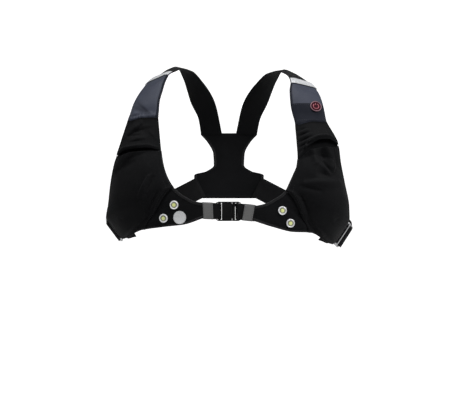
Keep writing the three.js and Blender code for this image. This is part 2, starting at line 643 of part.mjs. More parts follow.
// The chest webbing leads from the panel's end to the buckle's bar, folds round it and ends behind itself
function chestWebbing(side, panel, away) {
  const first = panel.at(panel.last, 0);
  const second = panel.at(panel.last, 1);
  const panelUp = first.point.clone().sub(second.point).normalize();
  const upright = new THREE.Vector3(0, 0, 1);
  const seam = first.point.clone().lerp(second.point, 0.5).addScaledVector(first.out, PANEL_WALL / 2);
  const centre = new THREE.Vector3(BUCKLE_CENTRE.x * away, BUCKLE_CENTRE.y, BUCKLE_CENTRE.z);
  const frame = (l, w, n) => centre.clone().add(new THREE.Vector3(l, -n, w));
  const radius = BUCKLE_BAR_RADIUS + SEAM_GAP + WEB_WALL / 2;
  const fold = foldRound(frame, BUCKLE_BAR_AT, radius, 1);
  const tail = frame(BUCKLE_BAR_AT + 5.5, 0, -radius);
  const inwards = fold[fold.length - 1].clone().sub(seam).normalize();
  const lead = [SLEEVE_LENGTH + 1.6, SLEEVE_LENGTH / 2 + 1.6, 1.6, 3 * SEAM_GAP].map((distance) =>
    seam.clone().addScaledVector(inwards, distance),
  );
  const sideways = [tail, ...fold].map(() => upright).concat(lead.map(() => panelUp));
  const web = webWall(ribbon([tail, ...fold, ...lead], sideways, CHEST_WEB_WIDTH, 2));
  const covered = lead.slice(0, 3);
  const cover = (extra) => ribbon(covered, covered.map(() => panelUp), CHEST_WEB_WIDTH + extra, 2);
  const room = WEB_WALL / 2 + SEAM_GAP;
  const outside = wall(cover(2.4), () => -room - SLEEVE_WALL, () => room + SLEEVE_WALL);
  const passage = [lead[0].clone().addScaledVector(inwards, 4), ...lead];
  const inside = wall(
    ribbon(passage, passage.map(() => panelUp), CHEST_WEB_WIDTH + 1, 2),
    () => -room,
    () => room,
  );
  return [
    piece(`chest_webbing_${side}`, web, BLACK_WEBBING),
    piece(`webbing_sleeve_${side}`, cut(outside, [inside]), SLEEVE_CLOTH),
  ];
}

function vestSide(side, away) {
  const group = new THREE.Group();
  group.name = `${side}_side`;
  group.scale.x = away;
  const panel = loft(PANEL_ROWS[side], true);
  const strap = loft(STRAP_ROWS[side], false);
  const rise = foldRise(FOLDS[side]);
  const frame = slideFrame(panel, SLIDE_TILT[side]);
  group.add(chestPanel(side, panel), pocketFlap(side, panel, rise), pocketFront(side, panel, rise));
  group.add(shoulderPad(side, strap), backStrap(side, strap), reflectiveTape(side, strap));
  group.add(...light(side, "upper", panel), ...light(side, "lower", panel));
  group.add(sideAdjuster(side, frame), cornerTab(side, panel, frame), sideStrap(side, frame));
  group.add(...chestWebbing(side, panel, away));
  return { group, panel, strap };
}

// The switch on the left strap and the patch on the right panel

function switchCover(strap) {
  const grid = gridOn(strap, 4, 6, (u, v) => [
    COVER_ROWS.from + u * (COVER_ROWS.to - COVER_ROWS.from),
    COVER_SHARES.neck + v * (COVER_SHARES.arm - COVER_SHARES.neck),
  ]);
  const low = ({ v }) => padHeight(COVER_SHARES.neck + v * (COVER_SHARES.arm - COVER_SHARES.neck)) + SEAM_GAP;
  return piece("switch_cover", wall(grid, low, (spot) => low(spot) + COVER_WALL), COVER_CLOTH);
}

function powerButton(strap) {
  const spot = locate(strap, SWITCH_AT.x, SWITCH_AT.z, 9.2, 0.7);
  const profile = [
    [0, 0],
    [BUTTON_RADIUS, 0],
    [BUTTON_RADIUS, BUTTON_HEIGHT * 0.6],
    [BUTTON_RADIUS - 0.6, BUTTON_HEIGHT],
    [BUTTON_RADIUS - 1.6, BUTTON_HEIGHT],
    [BUTTON_RADIUS - 2, BUTTON_HEIGHT * 0.6],
    [0, BUTTON_HEIGHT * 0.6],
  ];
  const stand = PAD_WALL + SEAM_GAP + COVER_WALL + SEAM_GAP;
  return setOn(piece("power_button", turned(profile, 24), BUTTON_RED), spot, stand);
}

function roundPatch(panel) {
  const spot = locate(panel, PATCH_AT.x, PATCH_AT.z, 8, 0.6);
  const profile = [
    [0, 0],
    [PATCH_RADIUS, 0],
    [PATCH_RADIUS, PATCH_WALL],
    [0, PATCH_WALL],
  ];
  return setOn(piece("round_patch", turned(profile, 24), PATCH_CLOTH), spot, PANEL_WALL + 2 * SEAM_GAP);
}

// The chest buckle. Its own X runs along the strap, Y up it and Z out to the front.

function buckleEnd(towards) {
  const top = BUCKLE_HEIGHT / 2;
  const inner = top - BUCKLE_ARM;
  const root = towards * (BUCKLE_HALF - 1);
  const shoulder = towards * (BUCKLE_BAR_AT + BUCKLE_BAR_RADIUS);
  const tip = shoulder + towards * BUCKLE_ARM_TAPER;
  const depth = 2 * BUCKLE_BAR_RADIUS;
  const arms = [-1, 1].map((up) => {
    const shape = new THREE.Shape();
    shape.moveTo(root, up * inner);
    shape.lineTo(root, up * top);
    shape.lineTo(shoulder, up * top);
    shape.lineTo(tip, up * (inner + 0.5));
    shape.lineTo(tip, up * inner);
    shape.closePath();
    return new THREE.ExtrudeGeometry(shape, { depth, bevelEnabled: false }).translate(0, 0, -depth / 2);
  });
  return [...arms, bar(BUCKLE_BAR_RADIUS, 2 * top - BUCKLE_ARM, towards * BUCKLE_BAR_AT)];
}

// A block with rounded corners, from one place along the strap to another
function buckleBlock(from, to) {
  const corner = BUCKLE_CORNER;
  const shape = new THREE.Shape();
  const top = BUCKLE_HEIGHT / 2;
  shape.moveTo(from + corner, -top);
  shape.lineTo(to - corner, -top);
  shape.quadraticCurveTo(to, -top, to, corner - top);
  shape.lineTo(to, top - corner);
  shape.quadraticCurveTo(to, top, to - corner, top);
  shape.lineTo(from + corner, top);
  shape.quadraticCurveTo(from, top, from, top - corner);
  shape.lineTo(from, corner - top);
  shape.quadraticCurveTo(from, -top, from + corner, -top);
  const bevel = BUCKLE_BEVEL;
  return new THREE.ExtrudeGeometry(shape, {
    depth: BUCKLE_DEPTH - 2 * bevel,
    bevelThickness: bevel,
    bevelSize: bevel * 0.8,
    bevelOffset: -bevel * 0.8,
    bevelSegments: 2,
    curveSegments: 3,
  }).translate(0, 0, bevel - BUCKLE_DEPTH / 2);
}

// Square corners for the end of a block where socket and plug meet
function squareEnd(end, towards) {
  const length = 2 * BUCKLE_CORNER;
  const depth = BUCKLE_DEPTH - 2 * BUCKLE_BEVEL;
  return box(length, BUCKLE_HEIGHT, depth, end - (towards * length) / 2, 0, 0);
}

const CAVITY_HEIGHT = 24;
const CAVITY_DEPTH = 5;
const COLLAR_LENGTH = 4;

function buckleSocket() {
  const body = joined([buckleBlock(-BUCKLE_HALF, BUCKLE_MOUTH), squareEnd(BUCKLE_MOUTH, 1)]);
  const cavityEnd = 3 - BUCKLE_HALF;
  const cavityMouth = BUCKLE_MOUTH + 2;
  const cavityMiddle = (cavityMouth + cavityEnd) / 2;
  const cavity = box(cavityMouth - cavityEnd, CAVITY_HEIGHT, CAVITY_DEPTH, cavityMiddle, 0, 0);
  const windows = box(6, BUCKLE_HEIGHT + 4, CAVITY_DEPTH, -2.5, 0, 0);
  return piece("buckle_socket", joined([cut(body, [cavity, windows]), ...buckleEnd(-1)]), BLACK_PLASTIC);
}

function bucklePlug() {
  const joint = BUCKLE_MOUTH + SEAM_GAP;
  const body = joined([buckleBlock(joint, BUCKLE_HALF), squareEnd(joint, -1)]);
  const reach = BUCKLE_MOUTH + 1.5;
  const prongTip = 4 - BUCKLE_HALF;
  const depth = CAVITY_DEPTH - 3 * SEAM_GAP;
  const prongs = [-1, 1].map((up) => {
    const shape = new THREE.Shape();
    shape.moveTo(reach, up * 6);
    shape.lineTo(prongTip, up * 7);
    shape.lineTo(prongTip + 1, up * 11);
    shape.lineTo(prongTip + 1.6, up * (BUCKLE_HEIGHT / 2 - 0.6));
    shape.lineTo(prongTip + 4.6, up * (BUCKLE_HEIGHT / 2 - 1.4));
    shape.lineTo(prongTip + 5.2, up * 11);
    shape.lineTo(reach, up * 10);
    shape.closePath();
    return new THREE.ExtrudeGeometry(shape, { depth, bevelEnabled: false }).translate(0, 0, -depth / 2);
  });
  const guide = box(reach - prongTip, 5, depth, (reach + prongTip) / 2, 0, 0);
  const collar = box(COLLAR_LENGTH, CAVITY_HEIGHT - 2 * SEAM_GAP, depth, reach - COLLAR_LENGTH / 2, 0, 0);
  return piece("buckle_plug", joined([body, ...prongs, guide, collar, ...buckleEnd(1)]), BLACK_PLASTIC);
}

function chestBuckle() {
  const group = new THREE.Group();
  group.name = "chest_buckle";
  group.position.copy(BUCKLE_CENTRE);
  group.rotation.x = Math.PI / 2;
  group.add(buckleSocket(), bucklePlug());
  return group;
}

// The plain panel at the back
function backPanel() {
  const height = column(BACK_ROWS, "height");
  const half = column(BACK_ROWS, "half");
  const depth = column(BACK_ROWS, "depth");
  const point = (row, share) => {
    const x = (1 - 2 * share) * half(row);
    return new THREE.Vector3(x, depth(row) - BACK_ROUND * x ** 2, height(row));
  };
  const back = surface(point, BACK_ROWS.length - 1);
  const grid = gridOn(back, 18, 8, (u, v) => [u * back.last, v]);
  return piece("back_panel", wall(grid, () => 0, () => PANEL_WALL), PANEL_CLOTH);
}

const vest = new THREE.Group();
vest.name = "led_sport_vest";
const left = vestSide("left", 1);
const right = vestSide("right", -1);
left.group.add(switchCover(left.strap), powerButton(left.strap));
right.group.add(roundPatch(right.panel));
vest.add(left.group, right.group, chestBuckle(), backPanel());

export default vest;
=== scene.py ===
import math

import bpy
import numpy as np
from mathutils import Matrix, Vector, noise


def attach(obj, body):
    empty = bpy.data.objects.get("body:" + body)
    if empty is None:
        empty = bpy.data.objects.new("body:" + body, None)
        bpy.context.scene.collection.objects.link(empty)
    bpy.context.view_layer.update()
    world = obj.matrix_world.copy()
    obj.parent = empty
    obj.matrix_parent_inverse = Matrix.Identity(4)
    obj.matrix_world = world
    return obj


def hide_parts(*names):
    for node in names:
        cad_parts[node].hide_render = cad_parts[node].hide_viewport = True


# An LED sport vest in the shape it has when worn: cloth, webbing, fittings, finishes, light and camera.
# Tables and sizes are in millimetres. They follow the solids, apart from small changes for the looks.
# Meshes are scaled to metres as they are made.
# Each side is worked out with X counted outwards, and the right side is mirrored as its meshes are made.

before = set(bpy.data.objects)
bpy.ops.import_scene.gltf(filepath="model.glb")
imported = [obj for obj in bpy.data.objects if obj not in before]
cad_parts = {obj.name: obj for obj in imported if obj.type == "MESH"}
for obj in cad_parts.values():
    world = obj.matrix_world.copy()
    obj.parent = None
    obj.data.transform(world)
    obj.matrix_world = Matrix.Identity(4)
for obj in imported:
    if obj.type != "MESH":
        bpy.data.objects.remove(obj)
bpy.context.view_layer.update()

MM = 0.001
SIDES = {"left": 1, "right": -1}
UPRIGHT = np.array([0.0, 0.0, 1.0])

# Thicknesses of cloth, webbing and padding
PANEL_WALL = 2.0
POCKET_WALL = 1.2
PAD_WALL = 4.0
PAD_EDGE = 1.6
STRAP_WALL = 2.0
TAPE_WALL = 0.6
WEB_WALL = 1.3
COVER_WALL = 0.8
SLEEVE_WALL = 0.7
SEAM_GAP = 0.4

# Widths of the two sizes of webbing
CHEST_WEB_WIDTH = 26.0
SIDE_WEB_WIDTH = 38.0

# The pocket's fullness at its deepest, and the stand-off of the pocket's sewn edges from the panel
POCKET_BELLY = 13.0
POCKET_STAND = 2.3

# The pocket's inner seam: the heights of the roll of cloth beside it, of the groove beyond the roll and of
# the panel's dip along it, how far the roll and the groove lie from it, and the pocket's width there
SEAM_ROLL = 1.7
SEAM_GROOVE = 3.0
SEAM_DIP = 1.0
SEAM_ROLL_REACH = 4.5
SEAM_GROOVE_AT = 11.5
POCKET_WIDTH = 88.0

# The flap's rolled hem: its share of the flap's length, the share of the flap's lift that it turns back,
# how much lower it hangs between its ends, and the height of the ridge along its top
HEM_SHARE = {"left": 0.15, "right": 0.1}
HEM_TURN = {"left": 0.38, "right": 0.3}
HEM_EXTRA = {"left": 0.06, "right": 0.0}
HEM_RIDGE = {"left": 1.6, "right": 0.9}

# Buckle and adjuster sizes that the webbing follows
BUCKLE_CENTRE = np.array([-1.6, -126.0, -239.0])
BUCKLE_BAR_AT = 14.4
BUCKLE_BAR_RADIUS = 1.6
SLIDE_WIDTH = 45.0
SLIDE_ARM = 2.8
SLIDE_HALF = 1.7
SLIDE_CORNER = 2.2
SLIDE_DEPTH = 4.0
SLIDE_BAR_RADIUS = 1.8
SLIDE_BAR_STEP = 8.5
SLIDE_REACH = 14.0
SLIDE_TILT = {"left": math.pi / 16, "right": -math.pi / 60}
SLIDE_FOLD = SLIDE_BAR_RADIUS + SEAM_GAP + WEB_WALL / 2

# Front lights, switch and patch
LIGHT_RADIUS = 6.9
LIGHT_HEIGHT = 2.6
LENS_RADIUS = 4.8
BUTTON_RADIUS = 9.5
BUTTON_HEIGHT = 1.6
PATCH_RADIUS = 10.5
PATCH_WALL = 0.8

# Thread: the length of a stitch, the step from one to the next and the thread's half thickness
STITCH_LENGTH = 2.5
STITCH_STEP = 3.3
THREAD_RADIUS = 0.26

# Edge binding: its width on each face, its cloth, and how far its stitches are from its inner edge
BINDING_WIDTH = 4.2
BINDING_WALL = 0.5
BINDING_SEWN = 1.1

# How far the tape and the switch's cover are laid above the padded strap
TAPE_GAP = 0.1
COVER_GAP = 0.2

# The rounding of the buckle's edges: its width, and the least angle in degrees that it is given to
BUCKLE_EASE = 0.35
BUCKLE_EASE_ANGLE = 35


def table(columns, rows):
    return [dict(zip(columns, row)) for row in rows]


# Chest panel sections, from the strap's end down to the corner and in to the chest strap. Each row
# runs from the neck edge to the arm edge or hem. wrap is 0 for a straight row and 1 for a square turn.
EDGE_COLUMNS = ("neck_x", "neck_y", "neck_z", "arm_x", "arm_y", "arm_z", "wrap")
CORNER_TOP = 5
CORNER_LOW = 6
PANEL_FIRST = -0.1
PANEL_LAST = 10
PANEL_ROWS = {
    "left": table(EDGE_COLUMNS, [
        (107, -74, -95, 160, -62, -94, 0.1),
        (110, -96, -149, 176.5, -72, -130, 0.2),
        (108.5, -103, -165, 180.5, -68, -160, 0.4),
        (102, -109, -181, 187, -60, -192, 0.55),
        (96, -113, -194, 195, -52, -232, 0.7),
        (90, -116, -206, 196, -46, -257, 0.8),
        (81, -119, -214, 173, -50, -291, 0.8),
        (71, -121, -220, 128, -102, -273, 0.5),
        (62, -123, -225, 102, -113, -272, 0.4),
        (53, -125, -228, 69, -122, -264, 0.3),
        (40.5, -127, -230.5, 36.5, -127, -253.5, 0),
    ]),
    "right": table(EDGE_COLUMNS, [
        (116, -74, -88, 166, -62, -89, 0.1),
        (110, -97, -141, 182, -72, -146, 0.2),
        (107, -104, -160, 187.5, -68, -166, 0.4),
        (102, -109, -178, 193, -60, -195, 0.55),
        (97, -113, -189, 197, -52, -228, 0.7),
        (90, -116, -200, 201, -46, -252, 0.8),
        (82, -119, -208, 178, -50, -282, 0.8),
        (74, -121, -214, 136, -100, -268, 0.5),
        (65, -123, -219, 106, -112, -264, 0.4),
        (56, -125, -223, 72, -122, -260, 0.3),
        (43, -127, -225.5, 42, -127, -250, 0),
    ]),
}
TURN_DROP = 0.8

# Shoulder strap sections, from the back panel up over the shoulder and down to the chest panel
STRAP_LAST = 10
STRAP_ROWS = {
    "left": table(EDGE_COLUMNS, [
        (12, 111, -104, 50, 106, -104, 0),
        (25, 86, -50, 56, 102, -77, 0),
        (47, 60, -18, 69, 92, -50, 0),
        (66, 38, -3, 84, 72, -12, 0),
        (82, 18, -1, 96, 54, 5, 0),
        (92, -2, -6, 113, 38, -3, 0),
        (99, -22, -14, 131, 12, -18, 0),
        (102, -38, -26, 143, -14, -31, 0),
        (100, -50, -41, 151, -34, -46, 0),
        (101, -64, -65, 156, -52, -67, 0),
        (107, -74, -94.5, 160, -62, -93.5, 0),
    ]),
    "right": table(EDGE_COLUMNS, [
        (12, 111, -104, 50, 106, -104, 0),
        (25, 86, -48, 55, 102, -76, 0),
        (46, 60, -15, 68, 92, -49, 0),
        (64, 38, 1, 81, 72, -8, 0),
        (79, 18, 3, 92, 54, 10, 0),
        (91, -2, -3, 105, 36, 4, 0),
        (101, -22, -11, 120, 14, -9, 0),
        (106, -38, -23, 134, -12, -21, 0),
        (110, -50, -39, 147, -34, -39, 0),
        (115, -64, -62, 159, -52, -63, 0),
        (116, -74, -87.5, 166, -62, -88.5, 0),
    ]),
}

# The tape across the strap: the strap row of its middle at the neck edge and at the arm edge. The
# strap's padding begins PAD_LEAD rows behind the tape, where the plain back of the strap ends.
TAPE_ROWS = {"left": (6.77, 7.05), "right": (5.8, 7.15)}
TAPE_HALF_ROWS = 0.34
PAD_LEAD = 0.05
TAPE_BORDER = 0.05

# The padded strap's lower hem: its depth, how much thicker it is, how far its neck end and its arm end
# hang down over the flap in strap rows, how far it stands off there, and the height of its gathers
ROW_LENGTH = 27.0
HEM_DEPTH = 5.0
PAD_HEM = {"left": 0.2, "right": 0.9}
PAD_DROP = {"left": (0.2, 0.06), "right": (0.0, 0.17)}
PAD_OVERLAP = {"left": 0.9, "right": 1.6}
PAD_GATHER = {"left": 0.1, "right": 0.8}

# The padded strap's crown, and the width of the dark edging along its neck side. The edging is painted
# shade, a dark strip standing in for the shade along that side
PAD_CROWN = 3.0
SHADE_EDGING_WIDTH = {"left": 2.8, "right": 4.6}

# Pocket mouth, from the neck edge to the arm edge: the panel rows of the flap's hem and of the
# pocket's top edge, and how far each stands off the panel
MOUTH_COLUMNS = ("hem_row", "hem_lift", "top_row", "top_lift")
MOUTH_ROWS = {
    "left": table(MOUTH_COLUMNS, [
        (1.36, 0.5, 1.44, 0.5),
        (0.74, 11, 1.02, 9),
        (0.64, 16, 1, 13),
        (0.7, 12, 1.12, 11),
        (1.04, 1, 1.14, 0.5),
    ]),
    "right": table(MOUTH_COLUMNS, [
        (1.02, 0.5, 1.09, 0.5),
        (0.89, 6, 1.06, 6),
        (0.92, 12, 1.12, 11),
        (0.95, 12, 1.25, 10),
        (1.1, 1, 1.45, 0.5),
    ]),
}
MOUTH_STEPS = 4

# The pocket's inner seam, at even steps from row CORNER_TOP to row POCKET_END: its share of the way across
POCKET_END = 7
POCKET_TURN = 2 / 3
SEAM_ROWS = table(("share",), [(0,), (0.09,), (0.19,), (0.38,), (0.92,)])
SEAM_STEPS = 4

# Folds of the pockets, the flaps and the padded straps: the two ends as seen from the front, half width
# and height. A negative height is a dent, and lean makes one side of the fold steeper than the other.
FOLD_COLUMNS = ("from_x", "from_z", "to_x", "to_z", "half", "rise", "lean")
POCKET_FOLDS = {
    "left": table(FOLD_COLUMNS, [
        (130, -139, 136, -164, 5, 3.4, 0),
        (155, -136, 161, -168, 5, 3.6, 0),
        (144, -137, 147, -162, 5.5, -4, 0),
        (141, -163, 155, -182, 2.8, 2.6, 0.5),
        (147, -163, 158, -178, 3, -2.6, 0),
        (165, -160, 158, -181, 3, 1.8, 0.3),
        (140, -181, 157, -184, 5, -2.8, 0),
        (120, -196, 168, -194, 6, 3.4, 0.3),
        (114, -200, 140, -208, 3.5, -2.4, 0.3),
        (169, -247, 172, -253, 5, -2.2, 0),
        (118, -150, 131, -141, 3, 1.2, 0.4),
    ]),
    "right": table(FOLD_COLUMNS, [
        (126, -186, 140, -216, 3.2, 3.4, 0.5),
        (121, -187, 132, -212, 3.4, -2.8, 0),
        (182, -174, 152, -147, 5.5, 3.8, 0.4),
        (172, -171, 143, -160, 5.5, -3, 0),
        (170, -249, 172, -251, 3, -1.4, 0),
        (150, -250, 172, -262, 6, 1.2, 0),
    ]),
}
FLAP_FOLDS = {
    "left": table(FOLD_COLUMNS, [
        (111, -110, 122, -106, 2.4, -2.4, 0),
        (110, -115, 125, -109, 2.4, 2.8, 0.4),
        (112, -119, 128, -113, 2.4, -3, 0),
        (110, -124, 130, -117, 2.6, 3.4, 0.4),
        (112, -129, 131, -122, 2.2, -2.6, 0),
        (111, -133, 131, -127, 2.4, 3.2, 0.4),
        (114, -137, 131, -131, 2.2, -2.8, 0),
        (112, -141, 132, -134, 2.2, 3, 0.4),
        (116, -145, 132, -138, 2.4, -2.2, 0),
        (150, -108, 168, -115, 5, 1.4, 0.3),
    ]),
    "right": table(FOLD_COLUMNS, [
        (168, -120, 144, -97, 4.5, 4.4, 0.5),
        (158, -113, 141, -108, 3.5, -3, 0),
        (164, -118, 146, -118, 2.4, -2, 0),
        (157, -127, 137, -123, 3.2, 3, 0.3),
        (126, -100, 138, -103, 3, 1.2, 0),
        (128, -112, 118, -122, 3, 1.2, 0.3),
    ]),
}
PAD_FOLDS = {
    "left": table(FOLD_COLUMNS, [
        (104, -48, 120, -56, 6, 0.6, 0.2),
        (134, -44, 148, -52, 4, 0.6, 0.2),
    ]),
    "right": table(FOLD_COLUMNS, [
        (148, -62, 127, -79, 4.5, 1.8, 0.5),
        (162, -70, 140, -80, 5, -1.4, 0),
        (166, -85, 149, -79, 2.6, 1.8, 0.3),
        (158, -87, 146, -85, 2.4, -1.2, 0),
        (131, -80, 119, -84, 2.6, 1.3, 0),
    ]),
}

# The fine unevenness of each cloth: its spacing, its height and the part of the noise that it uses
CRUMPLE = {
    "pad": (16, 0.5, 1),
    "back_strap": (22, 0.4, 2),
    "panel": (26, 0.6, 3),
    "flap": (13, 1.0, 4),
    "pocket": (24, 1.1, 5),
    "back": (30, 0.8, 6),
}

# Gathers along an edge: how often they come, and how far and how often they sway from even steps
PAD_GATHERS = (46, 3, 9)
MOUTH_GATHERS = (62, 4, 7)
MOUTH_GATHER_HEIGHT = 0.35

# Centres of the front lights, the switch and the patch, as seen from the front
LIGHTS = {
    "left": {"upper": (84, -238), "lower": (97, -258)},
    "right": {"upper": (88, -229), "lower": (105, -250)},
}
SWITCH_AT = (141, -70)
PATCH_AT = (79, -249)

# The raised cover over the switch, as strap rows and shares across the strap
COVER_ROWS = (8.97, 9.95)
COVER_SHARES = (0.03, 0.97)

# Middle line of the side strap between the adjuster and the back panel, the reach of its loose tail from
# the adjuster's bar, and how far it is sewn in under the back panel
SIDE_POINTS = [(199, 34, -271), (174, 73, -260), (118, 99, -233)]
SIDE_TAIL = 12.0
SIDE_SEWN = 12.0

# The corner tab: how far it reaches in across the panel and along the hem, how far behind the panel's
# surface it lies, how much of it shows below the hem, and how far it laps back past the adjuster's bar
TAB_SHARE = 0.3
TAB_HEM_ROWS = 0.58
TAB_UNDER = 4.0
TAB_SHOW = 9.0
TAB_LAP = 3.0

# The grey sleeve's length, and how far the chest webbing runs on past the panel's edge
SLEEVE_LENGTH = 16.0
WEB_SEWN = 2.5

# Back panel: a row for each height, from its top edge to its hem
BACK_ROUND = 0.0022
BACK_ROWS = table(("height", "half", "depth"), [
    (-104.5, 50, 112),
    (-118, 38, 115),
    (-138, 28, 118),
    (-158, 27, 119.5),
    (-169, 40, 120),
    (-177, 62, 120),
    (-218, 62, 120),
])


# Curves and surfaces


def column(rows, key):
    """A smooth curve through one column of a table. It passes every row and never overshoots."""
    values = np.array([row[key] for row in rows], float)
    steps = np.diff(values)
    before = np.concatenate([steps[:1], steps])
    after = np.concatenate([steps, steps[-1:]])
    total = np.where(before * after > 0, before + after, 1.0)
    slopes = np.where(before * after > 0, 2 * before * after / total, 0.0)

    def at(place):
        place = np.asarray(place, float)
        i = np.clip(np.floor(place).astype(int), 0, len(steps) - 1)
        f = place - i
        bend = 3 * steps[i] - 2 * slopes[i] - slopes[i + 1]
        twist = slopes[i] + slopes[i + 1] - 2 * steps[i]
        return values[i] + f * (slopes[i] + f * (bend + f * twist))

    return at


def loft(rows, has_corner):
    """The surface between two edges, whose rows bend towards a square turn by their wrap.

    A panel's arm edge is straight across its cut corner.
    """
    neck_curves = [column(rows, key) for key in ("neck_x", "neck_y", "neck_z")]
    arm_curves = [column(rows, key) for key in ("arm_x", "arm_y", "arm_z")]
    wrap = column(rows, "wrap")

    def arm_edge(row):
        edge = np.stack([curve(row) for curve in arm_curves], -1)
        if not has_corner:
            return edge
        top, low = (np.array([curve(at) for curve in arm_curves]) for at in (CORNER_TOP, CORNER_LOW))
        along = ((row - CORNER_TOP) / (CORNER_LOW - CORNER_TOP))[..., None]
        return np.where((along > 0) & (along < 1), top + along * (low - top), edge)

    def point(row, share):
        row, share = np.broadcast_arrays(np.asarray(row, float), np.asarray(share, float))
        neck = np.stack([curve(row) for curve in neck_curves], -1)
        arm = arm_edge(row)
        turn_z = neck[..., 2] + TURN_DROP * (arm[..., 2] - neck[..., 2])
        turn = np.stack([arm[..., 0], neck[..., 1], turn_z], -1)
        middle = (neck + arm) / 2
        bend = middle + (turn - middle) * wrap(row)[..., None]
        t = share[..., None]
        return (1 - t) ** 2 * neck + 2 * (1 - t) * t * bend + t ** 2 * arm

    return point


def unit(vectors):
    return vectors / np.linalg.norm(vectors, axis=-1, keepdims=True)


def facing(point, row, share):
    """The outward direction of a surface, and its directions along and across the rows."""
    small = 0.01
    along = point(row + small, share) - point(row - small, share)
    across = point(row, share + small) - point(row, share - small)
    return unit(np.cross(along, across)), along / (2 * small), across / (2 * small)


def locate(point, x, z, row, share):
    """The row and share of the place on a surface that is seen from the front at x and z."""
    for _ in range(30):
        here = point(row, share)
        _, along, across = facing(point, row, share)
        step_x = x - here[0]
        step_z = z - here[2]
        area = along[0] * across[2] - along[2] * across[0]
        row = row + (step_x * across[2] - step_z * across[0]) / area
        share = share + (along[0] * step_z - along[2] * step_x) / area
    return row, share


def spread(count, edge):
    """Even steps from 0 to 1, with closer ones inside edge at both ends for a rounded rim."""
    near = edge * np.array([0.0, 0.12, 0.4, 1.0])
    inside = np.linspace(edge, 1 - edge, count + 1)[1:-1]
    return np.concatenate([near, inside, 1 - near[::-1]])


def smooth(values):
    """0 below 0, 1 above 1, and an even ease between."""
    t = np.clip(values, 0, 1)
    return t * t * (3 - 2 * t)


def cloth_grid(down, across):
    """Shares down and across a cloth. down and across each hold the arguments of spread."""
    return np.meshgrid(spread(*down), spread(*across), indexing="ij")


def gathers(shares, often, sway, sway_often):
    """Uneven waves along an edge, between -1 and 1."""
    return np.sin(shares * often + sway * np.sin(shares * sway_often))


def surface_line(point, row, share, above):
    """A line of points on a surface, or above it, and the outward directions there."""
    out, _, _ = facing(point, row, share)
    return point(row, share) + out * above, out


def fold_rise(folds, places):
    """How far the folds lift each place, from its nearest point on each fold's line."""
    lift = np.zeros(places.shape[:-1])
    flat = places[..., [0, 2]]
    for fold in folds:
        start = np.array([fold["from_x"], fold["from_z"]], float)
        line = np.array([fold["to_x"], fold["to_z"]], float) - start
        share = np.clip(((flat - start) @ line) / (line @ line), 0, 1)
        away = flat - (start + share[..., None] * line)
        side = away[..., 0] * line[1] - away[..., 1] * line[0]
        distance = np.linalg.norm(away, axis=-1)
        half = fold["half"] * (1 + fold["lean"] * np.tanh(side / (np.linalg.norm(line) * 2)))
        ends = 0.35 + 0.65 * np.sin(np.pi * np.clip(share, 0.08, 0.92))
        lift += fold["rise"] * ends * np.exp(-((distance / half) ** 2))
    return lift


def crumple(places, size, height, seed):
    """Small uneven rises all over the cloth. size is their spacing in millimetres."""
    flat = places.reshape(-1, 3)
    shift = Vector((17.3 * seed, 5.1 * seed, 3.7 * seed))
    values = [noise.noise(Vector(place) / size + shift) for place in flat]
    return height * np.array(values).reshape(places.shape[:-1])


def grid_facing(places):
    """The outward direction at each place of a grid, from its neighbours."""
    return unit(np.cross(np.gradient(places, axis=0), np.gradient(places, axis=1)))


def refine(places, per_span):
    """A grid with more rows, on a smooth curve through each of its columns."""
    last = len(places) - 1
    padded = np.concatenate([2 * places[:1] - places[1:2], places, 2 * places[-1:] - places[-2:-1]])
    rows = []
    for i in range(last):
        a, b, c, d = padded[i:i + 4]
        for step in range(per_span):
            t = step / per_span
            rows.append(0.5 * (2 * b + (c - a) * t + (2 * a - 5 * b + 4 * c - d) * t ** 2
                               + (3 * b - a - 3 * c + d) * t ** 3))
    rows.append(places[-1])
    return np.array(rows)


def travel(places, axis):
    """The distance gone along one axis of a grid."""
    steps = np.linalg.norm(np.diff(places, axis=axis), axis=-1)
    gone = np.cumsum(steps, axis=axis)
    first = np.zeros_like(np.take(gone, [0], axis=axis))
    return np.concatenate([first, gone], axis=axis)


def rim_round(places, half):
    """1 well inside a cloth's edge, falling towards 0 at it, as a round edge of that half thickness does."""
    nearest = np.full(places.shape[:-1], np.inf)
    for axis in (0, 1):
        gone = travel(places, axis)
        whole = np.take(gone, [-1], axis=axis)
        nearest = np.minimum(nearest, np.minimum(gone, whole - gone))
    inside = np.clip(nearest / half, 0, 1)
    return np.maximum(np.sqrt(1 - (1 - inside) ** 2), 0.15)


# Meshes


def new_object(name, vertices, faces, material, uv=None, away=1):
    """A smooth mesh in metres. uv holds a place for each vertex. away is -1 for the mirrored side."""
    points = np.array(vertices, float).reshape(-1, 3) * MM
    points[:, 0] *= away
    quads = [tuple(face) if away > 0 else tuple(reversed(face)) for face in faces]
    mesh = bpy.data.meshes.new(name)
    mesh.from_pydata(points.tolist(), [], quads)
    mesh.polygons.foreach_set("use_smooth", [True] * len(mesh.polygons))
    if uv is not None:
        layer = mesh.uv_layers.new(name="cloth")
        corners = np.zeros(len(mesh.loops), np.int32)
        mesh.loops.foreach_get("vertex_index", corners)
        layer.data.foreach_set("uv", (np.asarray(uv).reshape(-1, 2)[corners] * MM).ravel())
    mesh.update()
    made = bpy.data.objects.new(name, mesh)
    bpy.context.scene.collection.objects.link(made)
    made.data.materials.append(material)
    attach(made, "root")
    return made


def grid_faces(down, across, first=0, flip=False):
    i, j = np.meshgrid(np.arange(down), np.arange(across), indexing="ij")
    corner = first + i * (across + 1) + j
    quads = np.stack([corner, corner + across + 1, corner + across + 2, corner + 1], -1).reshape(-1, 4)
    return quads[:, ::-1] if flip else quads


